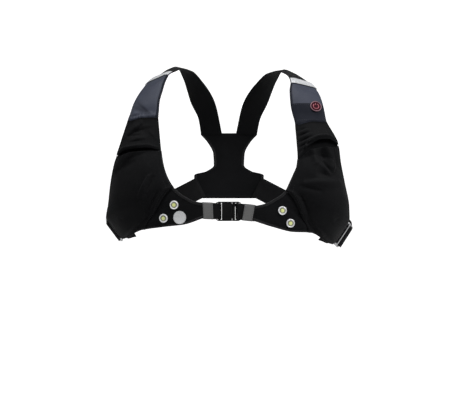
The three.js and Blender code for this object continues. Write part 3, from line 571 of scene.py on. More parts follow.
def wall_object(name, inner, outer, material, away=1):
    """A closed wall between two grids of the same size."""
    down, across = inner.shape[0] - 1, inner.shape[1] - 1
    side = (down + 1) * (across + 1)
    ids = np.arange(side).reshape(down + 1, across + 1)
    border = np.concatenate([ids[0, :-1], ids[:-1, -1], ids[-1, :0:-1], ids[:0:-1, 0]])
    following = np.roll(border, -1)
    rim = np.stack([border, border + side, following + side, following], -1)
    faces = np.concatenate([grid_faces(down, across, side), grid_faces(down, across, 0, True), rim])
    middle = (inner + outer) / 2
    uv = np.stack([travel(middle, 1), travel(middle, 0)], -1)
    vertices = np.concatenate([inner.reshape(-1, 3), outer.reshape(-1, 3)])
    return new_object(name, vertices, faces.tolist(), material, np.concatenate([uv, uv]), away)


def cloth_object(name, places, thickness, material, away=1):
    """A cloth of even thickness on a grid, with its edges rounded. The grid is the cloth's inner face."""
    out = grid_facing(places)
    half = thickness / 2
    swell = half * rim_round(places, half)[..., None]
    middle = places + out * half
    return wall_object(name, middle - out * swell, middle + out * swell, material, away)


def declare_cloth(places):
    """Works out a cloth's lengths and widths along its surface, folds included, and the cross products of
    its patches, but keeps and returns none of them.
    """
    lengths = travel(places, 0)[-1] * MM
    widths = travel(places, 1)[:, -1] * MM
    patches = np.cross(np.diff(places[:, :-1], axis=0), np.diff(places[:-1], axis=1))


def swept_object(name, rings, material, away=1, closed=False):
    """A closed skin over rings of points, with its two ends filled unless it closes on itself."""
    rings = np.asarray(rings, float)
    count, around = rings.shape[:2]
    faces = []
    for i in range(count if closed else count - 1):
        follow = (i + 1) % count
        for j in range(around):
            turn = (j + 1) % around
            faces.append((i * around + j, i * around + turn, follow * around + turn, follow * around + j))
    if not closed:
        faces.append(tuple(range(around - 1, -1, -1)))
        faces.append(tuple((count - 1) * around + j for j in range(around)))
    middle = rings.mean(axis=1)
    along = travel(middle[:, None], 0)
    around_gone = travel(rings, 1)
    uv = np.stack([around_gone, np.broadcast_to(along, around_gone.shape)], -1)
    return new_object(name, rings.reshape(-1, 3), faces, material, uv, away)


def lathe_rings(profile, segments):
    turn = np.linspace(0, 2 * np.pi, segments, endpoint=False)
    profile = np.asarray(profile, float)
    radius, height = profile[:, 0], profile[:, 1]
    return np.stack([
        radius[:, None] * np.cos(turn),
        radius[:, None] * np.sin(turn),
        np.broadcast_to(height[:, None], (len(profile), segments)),
    ], -1)


def on_surface(rings, centre, out, up):
    """Moves a shape made about Z to a place on the cloth."""
    out = unit(np.asarray(out, float))
    side = unit(np.cross(up, out))
    top = np.cross(out, side)
    return centre + rings[..., :1] * side + rings[..., 1:2] * top + rings[..., 2:] * out


def turned_object(name, profile, centre, out, material, away, segments=56):
    """A turned piece. Its profile goes from the axis or from a hollow's foot round and back to the start."""
    rings = on_surface(lathe_rings(profile, segments), centre, out, UPRIGHT)
    hollow = min(radius for radius, _ in profile) > 0.05
    return swept_object(name, rings[::-1], material, away, closed=hollow)


def flat_ring(radius, turn, height):
    """Points round the Z axis at one radius and height."""
    return np.stack([radius * np.cos(turn), radius * np.sin(turn), np.full(len(turn), height)], -1)


def arc(centre, radius, start, end, steps):
    """Points of an arc in a profile, with its angles in degrees."""
    turn = np.radians(np.linspace(start, end, steps))
    return [(centre[0] + radius * math.cos(t), centre[1] + radius * math.sin(t)) for t in turn]


# Sewing


def resample(values, gone, places):
    """What a line's values are at other distances along it. gone holds the distance of each value."""
    return np.stack([np.interp(places, gone, values[:, k]) for k in range(3)], -1)


def stitched(name, rows, material, away=1):
    """Rows of stitches. Each row is a line of points on the cloth and the outward directions there."""
    sides = 6
    profile = np.array([0.1, 0.75, 1.0, 0.75, 0.1])
    sink = np.array([-0.8, 0.25, 0.6, 0.25, -0.8]) * THREAD_RADIUS
    turn = np.linspace(0, 2 * np.pi, sides, endpoint=False)
    vertices = []
    faces = []
    for line, out in rows:
        gone = travel(line[:, None], 0)[:, 0]
        total = gone[-1]
        count = max(int(total // STITCH_STEP), 1)
        starts = (np.arange(count) + 0.5) * (total / count) - STITCH_LENGTH / 2
        stations = (starts[:, None] + np.linspace(0, STITCH_LENGTH, len(profile))).ravel()
        centres = resample(line, gone, stations).reshape(count, len(profile), 3)
        outward = np.broadcast_to(out, line.shape)
        ups = unit(resample(outward, gone, stations)).reshape(count, len(profile), 3)
        along = unit(centres[:, -1:] - centres[:, :1])
        side = unit(np.cross(along, ups))
        rings = (centres + ups * sink[:, None])[:, :, None]
        rings = rings + THREAD_RADIUS * profile[:, None, None] * (
            np.cos(turn)[:, None] * side[:, :, None] + np.sin(turn)[:, None] * ups[:, :, None])
        for stitch in rings:
            first = len(vertices)
            vertices.extend(stitch.reshape(-1, 3))
            for i in range(len(profile) - 1):
                for j in range(sides):
                    a = first + i * sides + j
                    b = first + i * sides + (j + 1) % sides
                    faces.append((a, a + sides, b + sides, b))
            faces.append(tuple(first + j for j in range(sides)))
            faces.append(tuple(first + (len(profile) - 1) * sides + j for j in reversed(range(sides))))
    return new_object(name, vertices, faces, material, None, away)


def binding_object(name, edge, inward, out, low, high, material, away=1, width=BINDING_WIDTH):
    """A tape folded round an edge. low and high are the heights of the two faces that it covers."""
    wall = BINDING_WALL
    gap = 0.05
    middle = (low + high) / 2
    reach = (high - low) / 2 + wall
    nose = np.radians(np.linspace(90, 270, 9))
    rings = []
    for i in range(len(edge)):
        m, r = middle[i], reach[i]
        outer = [(width, m + r - 0.3), (width - 0.35, m + r)]
        outer += [(0.6 + 0.55 * r * math.cos(t), m + r * math.sin(t)) for t in nose]
        outer += [(width - 0.35, m - r), (width, m - r + 0.3)]
        lowest, highest = low[i] - gap, high[i] + gap
        inner = [(width - 0.1, lowest), (0, lowest), (-0.1, m), (0, highest), (width - 0.1, highest)]
        section = np.array(outer + inner)
        rings.append(edge[i] + section[:, :1] * inward[i] + section[:, 1:] * out[i])
    return swept_object(name, rings, material, away)


def edge_binding(name, point, rows, share, tops, away=1):
    """Binding along the first edge (share 0) or the last edge (share 1) of a panel, and its stitch line."""
    shares = np.full_like(rows, float(share))
    edge = point(rows, shares)
    out, _, across = facing(point, rows, shares)
    inward = unit(across) * (1 if share == 0 else -1)
    low = np.zeros_like(rows)
    binding_object(name, edge, inward, out, low, tops, BINDING_CLOTH, away)
    line = edge + inward * (BINDING_WIDTH - BINDING_SEWN) + out * (tops + BINDING_WALL)[:, None]
    return line, out


# Finishes


def node_group(name, values, results):
    """An empty group with a vector, other inputs with their usual values, and its results."""
    group = bpy.data.node_groups.new(name, "ShaderNodeTree")
    group.interface.new_socket(name="Vector", in_out="INPUT", socket_type="NodeSocketVector")
    for label, value in values.items():
        socket = group.interface.new_socket(name=label, in_out="INPUT", socket_type="NodeSocketFloat")
        socket.default_value = value
    for label in results:
        group.interface.new_socket(name=label, in_out="OUTPUT", socket_type="NodeSocketFloat")
    start = group.nodes.new("NodeGroupInput")
    end = group.nodes.new("NodeGroupOutput")
    return group, start, end


def math_node(tree, operation, first, second=None, third=None):
    node = tree.nodes.new("ShaderNodeMath")
    node.operation = operation
    for socket, value in zip(node.inputs, (first, second, third)):
        if value is None:
            continue
        if isinstance(value, (int, float)):
            socket.default_value = value
        else:
            tree.links.new(value, socket)
    return node.outputs[0]


def noise_node(tree, vector, scale, detail=3.0, roughness=0.55):
    node = tree.nodes.new("ShaderNodeTexNoise")
    node.inputs["Detail"].default_value = detail
    node.inputs["Roughness"].default_value = roughness
    tree.links.new(vector, node.inputs["Vector"])
    if isinstance(scale, (int, float)):
        node.inputs["Scale"].default_value = scale
    else:
        tree.links.new(scale, node.inputs["Scale"])
    return node.outputs["Fac"]


def ranged(tree, value, low, high, to_low=0.0, to_high=1.0):
    node = tree.nodes.new("ShaderNodeMapRange")
    node.inputs["From Min"].default_value = low
    node.inputs["From Max"].default_value = high
    node.inputs["To Min"].default_value = to_low
    node.inputs["To Max"].default_value = to_high
    tree.links.new(value, node.inputs["Value"])
    return node.outputs["Result"]


def make_plain_weave():
    """Crossing threads. Threads is the number to a metre. Shade is the threads' height made uneven by noise,
    used to paint shade into the hollows between them.
    """
    group, start, end = node_group("plain_weave", {"Threads": 1600.0}, ("Height", "Shade"))
    parts = group.nodes.new("ShaderNodeSeparateXYZ")
    group.links.new(start.outputs["Vector"], parts.inputs[0])
    waves = []
    for axis in ("X", "Y"):
        turns = math_node(group, "MULTIPLY", parts.outputs[axis], start.outputs["Threads"])
        angle = math_node(group, "MULTIPLY", turns, math.pi)
        waves.append(math_node(group, "SINE", angle))
    crossing = math_node(group, "MULTIPLY", waves[0], waves[1])
    height = math_node(group, "MULTIPLY_ADD", crossing, 0.5, 0.5)
    uneven = noise_node(group, start.outputs["Vector"], 900.0, 2.0)
    shade = math_node(group, "MULTIPLY", height, ranged(group, uneven, 0.3, 0.7, 0.6, 1.0))
    group.links.new(height, end.inputs["Height"])
    group.links.new(shade, end.inputs["Shade"])
    return group


def make_chevron_weave():
    """Webbing: ribs along the strap, with threads that lean to and fro across them. Shade is their height,
    used to paint the hollows darker as painted shade.
    """
    values = {"Ribs": 500.0, "Threads": 900.0}
    group, start, end = node_group("chevron_weave", values, ("Height", "Shade"))
    parts = group.nodes.new("ShaderNodeSeparateXYZ")
    group.links.new(start.outputs["Vector"], parts.inputs[0])
    ribs = math_node(group, "MULTIPLY", parts.outputs["X"], start.outputs["Ribs"])
    lean = math_node(group, "PINGPONG", ribs, 1.0)
    along = math_node(group, "MULTIPLY_ADD", parts.outputs["Y"], start.outputs["Threads"], lean)
    threads = math_node(group, "SINE", math_node(group, "MULTIPLY", along, 2 * math.pi))
    valley = math_node(group, "ABSOLUTE", math_node(group, "MULTIPLY_ADD", lean, 2.0, -1.0))
    crown = math_node(group, "SUBTRACT", 1.0, math_node(group, "POWER", valley, 4.0))
    height = math_node(group, "MULTIPLY_ADD", threads, 0.35, 0.4)
    height = math_node(group, "MULTIPLY", height, crown)
    group.links.new(height, end.inputs["Height"])
    group.links.new(ranged(group, height, 0.0, 0.75), end.inputs["Shade"])
    return group


def make_handled_cloth():
    """Uneven fading over a hand's width, and fine lint."""
    group, start, end = node_group("handled_cloth", {"Patch": 18.0}, ("Fade", "Lint", "Soft"))
    broad = noise_node(group, start.outputs["Vector"], start.outputs["Patch"], 4.0)
    specks = noise_node(group, start.outputs["Vector"], 1400.0, 2.0, 0.7)
    ripple = noise_node(group, start.outputs["Vector"], 160.0, 3.0, 0.6)
    group.links.new(ranged(group, broad, 0.32, 0.68), end.inputs["Fade"])
    group.links.new(ranged(group, specks, 0.68, 0.8), end.inputs["Lint"])
    group.links.new(ripple, end.inputs["Soft"])
    return group


def make_moulded_skin():
    """The fine spark texture of moulded plastic, with faint rubbed places."""
    group, start, end = node_group("moulded_skin", {"Grain": 1500.0}, ("Height", "Rubbed"))
    grain = noise_node(group, start.outputs["Vector"], start.outputs["Grain"], 2.0)
    rubbed = noise_node(group, start.outputs["Vector"], 90.0, 4.0, 0.65)
    group.links.new(grain, end.inputs["Height"])
    group.links.new(ranged(group, rubbed, 0.45, 0.75), end.inputs["Rubbed"])
    return group


def make_reflective_cells():
    """The small cells of reflective film, with their darker walls."""
    group, start, end = node_group("reflective_cells", {"Cells": 900.0}, ("Wall", "Sparkle"))
    cells = group.nodes.new("ShaderNodeTexVoronoi")
    cells.feature = "DISTANCE_TO_EDGE"
    cells.inputs["Randomness"].default_value = 0.35
    group.links.new(start.outputs["Vector"], cells.inputs["Vector"])
    group.links.new(start.outputs["Cells"], cells.inputs["Scale"])
    wall = ranged(group, cells.outputs["Distance"], 0.02, 0.12, 1.0, 0.0)
    sparkle = noise_node(group, start.outputs["Vector"], 260.0, 3.0, 0.7)
    group.links.new(wall, end.inputs["Wall"])
    group.links.new(ranged(group, sparkle, 0.35, 0.65), end.inputs["Sparkle"])
    return group


PLAIN_WEAVE = make_plain_weave()
CHEVRON_WEAVE = make_chevron_weave()
HANDLED_CLOTH = make_handled_cloth()
MOULDED_SKIN = make_moulded_skin()
REFLECTIVE_CELLS = make_reflective_cells()


class Finish:
    """One material: its Principled shader, its coordinates and what feeds it."""

    def __init__(self, name, **constants):
        self.material = bpy.data.materials.new(name)
        self.material.use_nodes = True
        self.tree = self.material.node_tree
        self.shader = self.tree.nodes["Principled BSDF"]
        for label, value in constants.items():
            self.shader.inputs[label.replace("_", " ")].default_value = value
        self.places = self.tree.nodes.new("ShaderNodeTexCoord")

    def group(self, group, vector, **values):
        node = self.tree.nodes.new("ShaderNodeGroup")
        node.node_tree = group
        self.tree.links.new(vector, node.inputs["Vector"])
        for label, value in values.items():
            node.inputs[label].default_value = value
        return node.outputs

    def mix(self, factor, first, second):
        node = self.tree.nodes.new("ShaderNodeMix")
        node.data_type = "RGBA"
        self.tree.links.new(factor, node.inputs[0])
        for socket, value in ((node.inputs[6], first), (node.inputs[7], second)):
            if isinstance(value, tuple):
                socket.default_value = (*value, 1.0)
            else:
                self.tree.links.new(value, socket)
        return node.outputs[2]

    def colour(self, value):
        self.tree.links.new(value, self.shader.inputs["Base Color"])

    def roughness(self, value, low, high):
        self.tree.links.new(ranged(self.tree, value, 0.0, 1.0, low, high), self.shader.inputs["Roughness"])

    def bump(self, height, distance, strength=1.0, under=None):
        node = self.tree.nodes.new("ShaderNodeBump")
        node.inputs["Distance"].default_value = distance
        node.inputs["Strength"].default_value = strength
        self.tree.links.new(height, node.inputs["Height"])
        if under is not None:
            self.tree.links.new(under, node.inputs["Normal"])
        self.tree.links.new(node.outputs["Normal"], self.shader.inputs["Normal"])
        return node.outputs["Normal"]


def woven_finish(name, dark, light, threads, patch=18.0, rough=(0.75, 0.95), relief=0.00012, lint=0.02,
                 **constants):
    """A woven cloth: threads, broad fading, lint and small ripples. The hollows between the threads are
    painted darker, as painted shade.
    """
    finish = Finish(name, **constants)
    weave = finish.group(PLAIN_WEAVE, finish.places.outputs["UV"], Threads=threads)
    handled = finish.group(HANDLED_CLOTH, finish.places.outputs["Object"], Patch=patch)
    faded = finish.mix(handled["Fade"], dark, light)
    # Painted shade: the hollows between the threads get a darker colour
    valley = tuple(0.72 * value for value in dark)
    shaded_threads = finish.mix(weave["Shade"], valley, faded)
    speck = tuple(min(1.0, value + lint) for value in light)
    finish.colour(finish.mix(handled["Lint"], shaded_threads, speck))
    finish.roughness(handled["Fade"], *rough)
    ripple = finish.bump(handled["Soft"], 0.0004, 0.35)
    finish.bump(weave["Height"], relief, 0.8, ripple)
    return finish.material


def webbing_finish(name, dark, light, ribs, threads, **constants):
    """Ribbed webbing with leaning threads, painted darker in the hollows between ribs and threads as painted
    shade.
    """
    finish = Finish(name, **constants)
    weave = finish.group(CHEVRON_WEAVE, finish.places.outputs["UV"], Ribs=ribs, Threads=threads)
    handled = finish.group(HANDLED_CLOTH, finish.places.outputs["Object"], Patch=30.0)
    # Painted shade: the colour is darker where the weave is low
    shaded = finish.mix(weave["Shade"], dark, light)
    worn = tuple(min(1.0, 1.25 * value) for value in light)
    finish.colour(finish.mix(handled["Lint"], shaded, worn))
    finish.roughness(handled["Fade"], 0.6, 0.85)
    finish.bump(weave["Height"], 0.0003, 0.9)
    return finish.material


def reflective_finish(name, dark, light, cells):
    """Pale reflective film, glossy between the walls of its cells."""
    finish = Finish(name, Metallic=0.15, Coat_Weight=0.2, Coat_Roughness=0.3)
    film = finish.group(REFLECTIVE_CELLS, finish.places.outputs["UV"], Cells=cells)
    bright = finish.mix(film["Sparkle"], dark, light)
    walls = tuple(0.75 * value for value in dark)
    finish.colour(finish.mix(film["Wall"], bright, walls))
    finish.roughness(film["Sparkle"], 0.35, 0.5)
    finish.bump(film["Wall"], 0.00008, 0.6)
    return finish.material


def plastic_finish(name, dark, light, rough, grain=1500.0, **constants):
    """Moulded plastic with a fine spark texture and faint rubbed places."""
    finish = Finish(name, **constants)
    skin = finish.group(MOULDED_SKIN, finish.places.outputs["Object"], Grain=grain)
    finish.colour(finish.mix(skin["Rubbed"], dark, light))
    finish.roughness(skin["Rubbed"], *rough)
    finish.bump(skin["Height"], 0.00004, 0.4)
    return finish.material


def lamp_finish():
    """A lens: yellow-green over the lamp at its centre, and mid grey towards its rim. The grey is painted
    shade, standing in for the shadowed cup round the lamp.
    """
    finish = Finish("lamp_lens", Coat_Weight=1.0, Coat_Roughness=0.03, IOR=1.5)
    film = finish.group(REFLECTIVE_CELLS, finish.places.outputs["UV"], Cells=2600.0)
    skin = finish.group(MOULDED_SKIN, finish.places.outputs["Object"], Grain=700.0)
    glow = finish.tree.nodes.new("ShaderNodeAttribute")
    glow.attribute_name = "from_centre"
    rim = ranged(finish.tree, glow.outputs["Fac"], 0.45, 0.8)
    phosphor = finish.mix(film["Wall"], (0.78, 0.83, 0.33), (0.61, 0.65, 0.19))
    # Painted shade: the grey towards the rim stands in for the shadowed cup round the lamp
    clear = finish.mix(skin["Rubbed"], (0.16, 0.165, 0.14), (0.26, 0.265, 0.23))
    finish.colour(finish.mix(rim, phosphor, clear))
    finish.roughness(skin["Rubbed"], 0.12, 0.25)
    return finish.material


PANEL_CLOTH = woven_finish(
    "panel_cloth", (0.0032, 0.0034, 0.0041), (0.0051, 0.0053, 0.0062), 2200.0,
    Specular_IOR_Level=0.09, Sheen_Weight=0.02, Sheen_Roughness=0.5)
STRETCH_CLOTH = woven_finish(
    "stretch_cloth", (0.0023, 0.0025, 0.0031), (0.0038, 0.0040, 0.0048), 1700.0, 18.0, (0.65, 0.8),
    Specular_IOR_Level=0.08, Sheen_Weight=0.02, Sheen_Roughness=0.45)
BINDING_CLOTH = woven_finish(
    "binding_cloth", (0.0070, 0.0070, 0.0080), (0.0120, 0.0120, 0.0130), 1300.0,
    Specular_IOR_Level=0.25, Sheen_Weight=0.12, Sheen_Roughness=0.4)
PAD_CLOTH = woven_finish(
    "pad_cloth", (0.032, 0.037, 0.056), (0.043, 0.049, 0.073), 2600.0, 14.0, (0.5, 0.65), 0.00006, 0.02,
    Specular_IOR_Level=0.22, Sheen_Weight=0.03, Sheen_Roughness=0.35)
COVER_CLOTH = woven_finish(
    "cover_cloth", (0.0094, 0.0112, 0.0178), (0.0131, 0.0154, 0.0240), 2600.0, 16.0, (0.55, 0.7), 0.00006,
    0.012, Specular_IOR_Level=0.08, Sheen_Weight=0.01, Sheen_Roughness=0.35)
SLEEVE_CLOTH = webbing_finish("sleeve_cloth", (0.085, 0.085, 0.085), (0.15, 0.15, 0.15), 420.0, 800.0)
WEBBING = webbing_finish(
    "black_webbing", (0.0026, 0.0026, 0.003), (0.0066, 0.0066, 0.0074), 420.0, 700.0, Specular_IOR_Level=0.1)
THREAD = webbing_finish(
    "black_thread", (0.006, 0.006, 0.007), (0.016, 0.016, 0.018), 900.0, 1200.0, Specular_IOR_Level=0.25)
PAD_THREAD = webbing_finish("grey_thread", (0.03, 0.032, 0.045), (0.06, 0.062, 0.08), 900.0, 1200.0)
PALE_THREAD = webbing_finish("pale_thread", (0.35, 0.36, 0.37), (0.5, 0.51, 0.52), 900.0, 1200.0)
TAPE_FILM = reflective_finish("reflective_tape", (0.42, 0.43, 0.44), (0.62, 0.63, 0.65), 900.0)
PATCH_FILM = reflective_finish("patch_film", (0.55, 0.56, 0.57), (0.75, 0.76, 0.77), 900.0)
BLACK_PLASTIC = plastic_finish(
    "black_plastic", (0.0022, 0.0023, 0.0026), (0.0042, 0.0042, 0.0048), (0.38, 0.5), Specular_IOR_Level=0.2)
SLIDE_METAL = plastic_finish(
    "slide_metal", (0.42, 0.42, 0.43), (0.55, 0.55, 0.56), (0.25, 0.4), 700.0, Metallic=1.0)
BRIGHT_METAL = plastic_finish(
    "bright_bezel", (0.78, 0.78, 0.79), (0.90, 0.90, 0.90), (0.35, 0.5), 500.0, Metallic=0.4)
BUTTON_DARK = plastic_finish(
    "button_dark", (0.026, 0.0025, 0.007), (0.042, 0.005, 0.011), (0.6, 0.75), Specular_IOR_Level=0.08)
BUTTON_RED = plastic_finish(
    "button_red", (0.36, 0.10, 0.125), (0.46, 0.14, 0.17), (0.5, 0.65), Specular_IOR_Level=0.2)
BUTTON_PALE = plastic_finish(
    "button_pale", (0.24, 0.13, 0.155), (0.31, 0.18, 0.205), (0.5, 0.65), Specular_IOR_Level=0.2)
LAMP_LENS = lamp_finish()


# Shoulder straps


def tape_row(side, share):
    neck, arm = TAPE_ROWS[side]
    return neck + share * (arm - neck)


def pad_start(side, share):
    return tape_row(side, share) - TAPE_HALF_ROWS - PAD_LEAD


def pad_height(side, rows, share):
    """The padded strap's thickness, crowned where it is bent over the shoulder."""
    middle = 1 - (2 * share - 1) ** 6
    free = smooth((STRAP_LAST - rows) / 1.2) * smooth((rows - tape_row(side, share) - TAPE_HALF_ROWS) / 1.2)
    crown = PAD_CROWN * (1 - (2 * share - 1) ** 2) * free
    return PAD_EDGE + (PAD_WALL - PAD_EDGE) * middle + crown


def pad_end(side, share):
    """The strap row of the padded strap's lower edge."""
    neck, arm = PAD_DROP[side]
    return STRAP_LAST + neck * (1 - smooth(share / 0.6)) + arm * smooth((share - 0.45) / 0.55)


def pad_lift(side, rows):
    """How far the padded strap's lower end stands off to lie over the flap."""
    return PAD_OVERLAP[side] * smooth((rows - STRAP_LAST + 0.5) / 0.5)


def pad_top(side, strap, rows, shares):
    """How far the padded strap's outer face stands off its underside, with its creases and hem."""
    places = strap(rows, shares)
    held = np.sin(np.pi * np.clip(shares, 0.03, 0.97)) ** 0.5
    top = pad_height(side, rows, shares) + fold_rise(PAD_FOLDS[side], places) * held
    top = top + crumple(places, *CRUMPLE["pad"]) * held
    from_hem = (pad_end(side, shares) - rows) * ROW_LENGTH
    gather = gathers(shares, *PAD_GATHERS) * np.exp(-(from_hem / 8) ** 2)
    top = top + PAD_GATHER[side] * gather * held + pad_lift(side, rows)
    return top + PAD_HEM[side] * smooth((HEM_DEPTH + 1 - from_hem) / 1.5)


def on_pad(side, strap, rows, shares, above):
    """Points on the padded strap's outer face, or above it, and the outward directions there."""
    out, _, _ = facing(strap, rows, shares)
    return strap(rows, shares) + out * (pad_top(side, strap, rows, shares) + above)[..., None], out


def shoulder_pad(side, strap, away):
    ups, shares = cloth_grid((90, 0.02), (44, 0.05))
    start = pad_start(side, shares)
    rows = start + ups * (pad_end(side, shares) - start)
    places = strap(rows, shares)
    out, _, _ = facing(strap, rows, shares)
    low = pad_lift(side, rows)[..., None]
    high = pad_top(side, strap, rows, shares)[..., None]
    middle = low + (high - low) * 0.3
    rounding = rim_round(places, PAD_WALL * 0.75)[..., None]
    inner = places + out * (middle - (middle - low) * rounding)
    outer = places + out * (middle + (high - middle) * rounding)
    made = wall_object(f"padded_strap_{side}", inner, outer, PAD_CLOTH, away)
    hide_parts(f"shoulder_pad_{side}")
    # The dark edging along the neck edge is painted shade
    pad_shade_edging(side, strap, away)
    pad_sewing(side, strap, away)


def pad_shade_edging(side, strap, away):
    """The dark edging sewn round the padded strap's neck edge. It is painted shade: a dark strip, made as
    wide and dark as the shade that falls along the strap's neck side.
    """
    first = tape_row(side, 0.0) + TAPE_HALF_ROWS + TAPE_BORDER
    rows = np.linspace(first, pad_end(side, 0.0) - 0.03, 90)
    shares = np.zeros_like(rows)
    out, _, across = facing(strap, rows, shares)
    top = pad_top(side, strap, rows, np.full_like(rows, 0.04))
    edge = strap(rows, shares)
    binding_object(f"padded_strap_shade_edging_{side}", edge, unit(across), out, pad_lift(side, rows), top,
                   COVER_CLOTH, away, SHADE_EDGING_WIDTH[side])


def pad_sewing(side, strap, away):
    lines = []
    for share in (0.075, 0.925):
        rows = np.linspace(pad_start(side, share) + 2.5 * TAPE_HALF_ROWS, STRAP_LAST - 0.1, 90)
        lines.append(on_pad(side, strap, rows, np.full_like(rows, share), 0.0))
    if side == "right":
        across = np.linspace(0.08, 0.92, 60)
        lines.append(on_pad(side, strap, pad_end(side, across) - HEM_DEPTH / ROW_LENGTH, across, 0.0))
    stitched(f"padded_strap_stitches_{side}", lines, PAD_THREAD, away)


def back_strap(side, strap, away):
    ups, shares = cloth_grid((96, 0.01), (20, 0.03))
    rows = ups * (pad_start(side, shares) + 0.1)
    places = strap(rows, shares)
    rise = crumple(places, *CRUMPLE["back_strap"])
    places = places + facing(strap, rows, shares)[0] * rise[..., None]
    made = cloth_object(f"back_strap_cloth_{side}", places, STRAP_WALL, STRETCH_CLOTH, away)
    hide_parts(f"back_strap_{side}")
    declare_cloth(places)
    lines = []
    for share in (0.06, 0.94):
        rows = np.linspace(0.1, pad_start(side, share) - 0.1, 90)
        lines.append(surface_line(strap, rows, share, STRAP_WALL))
    stitched(f"back_strap_stitches_{side}", lines, THREAD, away)


def reflective_tape(side, strap, away):
    """The pale tape, sewn on a black ribbon that shows as a narrow border along both of its edges."""
    ups, shares = cloth_grid((10, 0.05), (30, 0.02))
    rows = tape_row(side, shares) + (2 * ups - 1) * (TAPE_HALF_ROWS + TAPE_BORDER)
    places, _ = on_pad(side, strap, rows, shares, TAPE_GAP)
    cloth_object(f"tape_base_{side}", places, TAPE_WALL, STRETCH_CLOTH, away)
    rows = tape_row(side, shares) + (2 * ups - 1) * TAPE_HALF_ROWS
    places, _ = on_pad(side, strap, rows, shares, TAPE_GAP + TAPE_WALL)
    made = cloth_object(f"tape_{side}", places, TAPE_WALL, TAPE_FILM, away)
    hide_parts(f"reflective_tape_{side}")
    declare_cloth(places)
    across = np.linspace(0.03, 0.97, 40)
    lines = []
    for up in (-0.82, 0.82):
        rows = tape_row(side, across) + up * TAPE_HALF_ROWS
        lines.append(on_pad(side, strap, rows, across, TAPE_GAP + 2 * TAPE_WALL))
    stitched(f"tape_stitches_{side}", lines, PALE_THREAD, away)


# Chest panels, pockets and flaps


def chest_panel(side, panel, away):
    downs, shares = cloth_grid((130, 0.006), (90, 0.008))
    rows = PANEL_FIRST + downs * (PANEL_LAST - PANEL_FIRST)
    places = panel(rows, shares)
    out, _, _ = facing(panel, rows, shares)
    free = smooth((rows - POCKET_END) / 0.8)
    from_seam = (shares - seam_share(rows)) * POCKET_WIDTH
    dip = SEAM_DIP * np.exp(-(from_seam / 1.8) ** 2) * smooth((rows - CORNER_TOP) / 0.3)
    places = places + out * (crumple(places, *CRUMPLE["panel"]) * free - dip)[..., None]
    made = cloth_object(f"panel_{side}", places, PANEL_WALL, PANEL_CLOTH, away)
    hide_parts(f"chest_panel_{side}")
    declare_cloth(places)


def flap_places(side, panel, ups, shares):
    """The flap's inner face. ups is 0 at its sewn top and 1 at its hem, which is rolled in."""
    mouth = MOUTH_ROWS[side]
    last = column(mouth, "hem_row")(shares * MOUTH_STEPS)
    held = np.sin(np.pi * np.clip(shares, 0.02, 0.98))
    last = last + HEM_EXTRA[side] * held
    rows = PANEL_FIRST + ups * (last - PANEL_FIRST)
    places = panel(rows, shares)
    out, _, _ = facing(panel, rows, shares)
    # turn goes from 0 at the rolled hem's top to 1 at its end, and folds fade out over it
    turn = smooth((ups - 1 + HEM_SHARE[side]) / HEM_SHARE[side])
    lift = column(mouth, "hem_lift")(shares * MOUTH_STEPS) * (ups ** 2 - HEM_TURN[side] * turn)
    rise = fold_rise(FLAP_FOLDS[side], places) * np.sqrt(held) * smooth(ups * 4) * (1 - turn)
    rise = rise + crumple(places, *CRUMPLE["flap"]) * held * smooth(ups * 3)
    ridge = HEM_RIDGE[side] * np.exp(-((ups - 1 + HEM_SHARE[side]) / 0.035) ** 2)
    rise = rise + ridge * np.sqrt(held)
    stand = POCKET_STAND + lift + np.maximum(rise, -0.8 * lift - 0.4)
    return places + out * stand[..., None]


def pocket_flap(side, panel, away):
    ups, shares = cloth_grid((80, 0.02), (90, 0.012))
    places = flap_places(side, panel, ups, shares)
    made = cloth_object(f"flap_{side}", places, POCKET_WALL, STRETCH_CLOTH, away)
    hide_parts(f"pocket_flap_{side}")
    declare_cloth(places)
    lines = []
    across = np.linspace(0.02, 0.98, 80)
    for up in (0.06, 0.1, 1 - HEM_SHARE[side]):
        beside = [np.full_like(across, up + step) for step in (-0.01, 0, 0.01)]
        near = np.stack([flap_places(side, panel, along, across) for along in beside])
        out = grid_facing(near)[1]
        lines.append((near[1] + out * POCKET_WALL, out))
    stitched(f"flap_stitches_{side}", lines, THREAD, away)


def seam_share(rows):
    along = np.clip((rows - CORNER_TOP) / (POCKET_END - CORNER_TOP), 0, 1)
    return np.where(along > 0, column(SEAM_ROWS, "share")(along * SEAM_STEPS), 0.0)


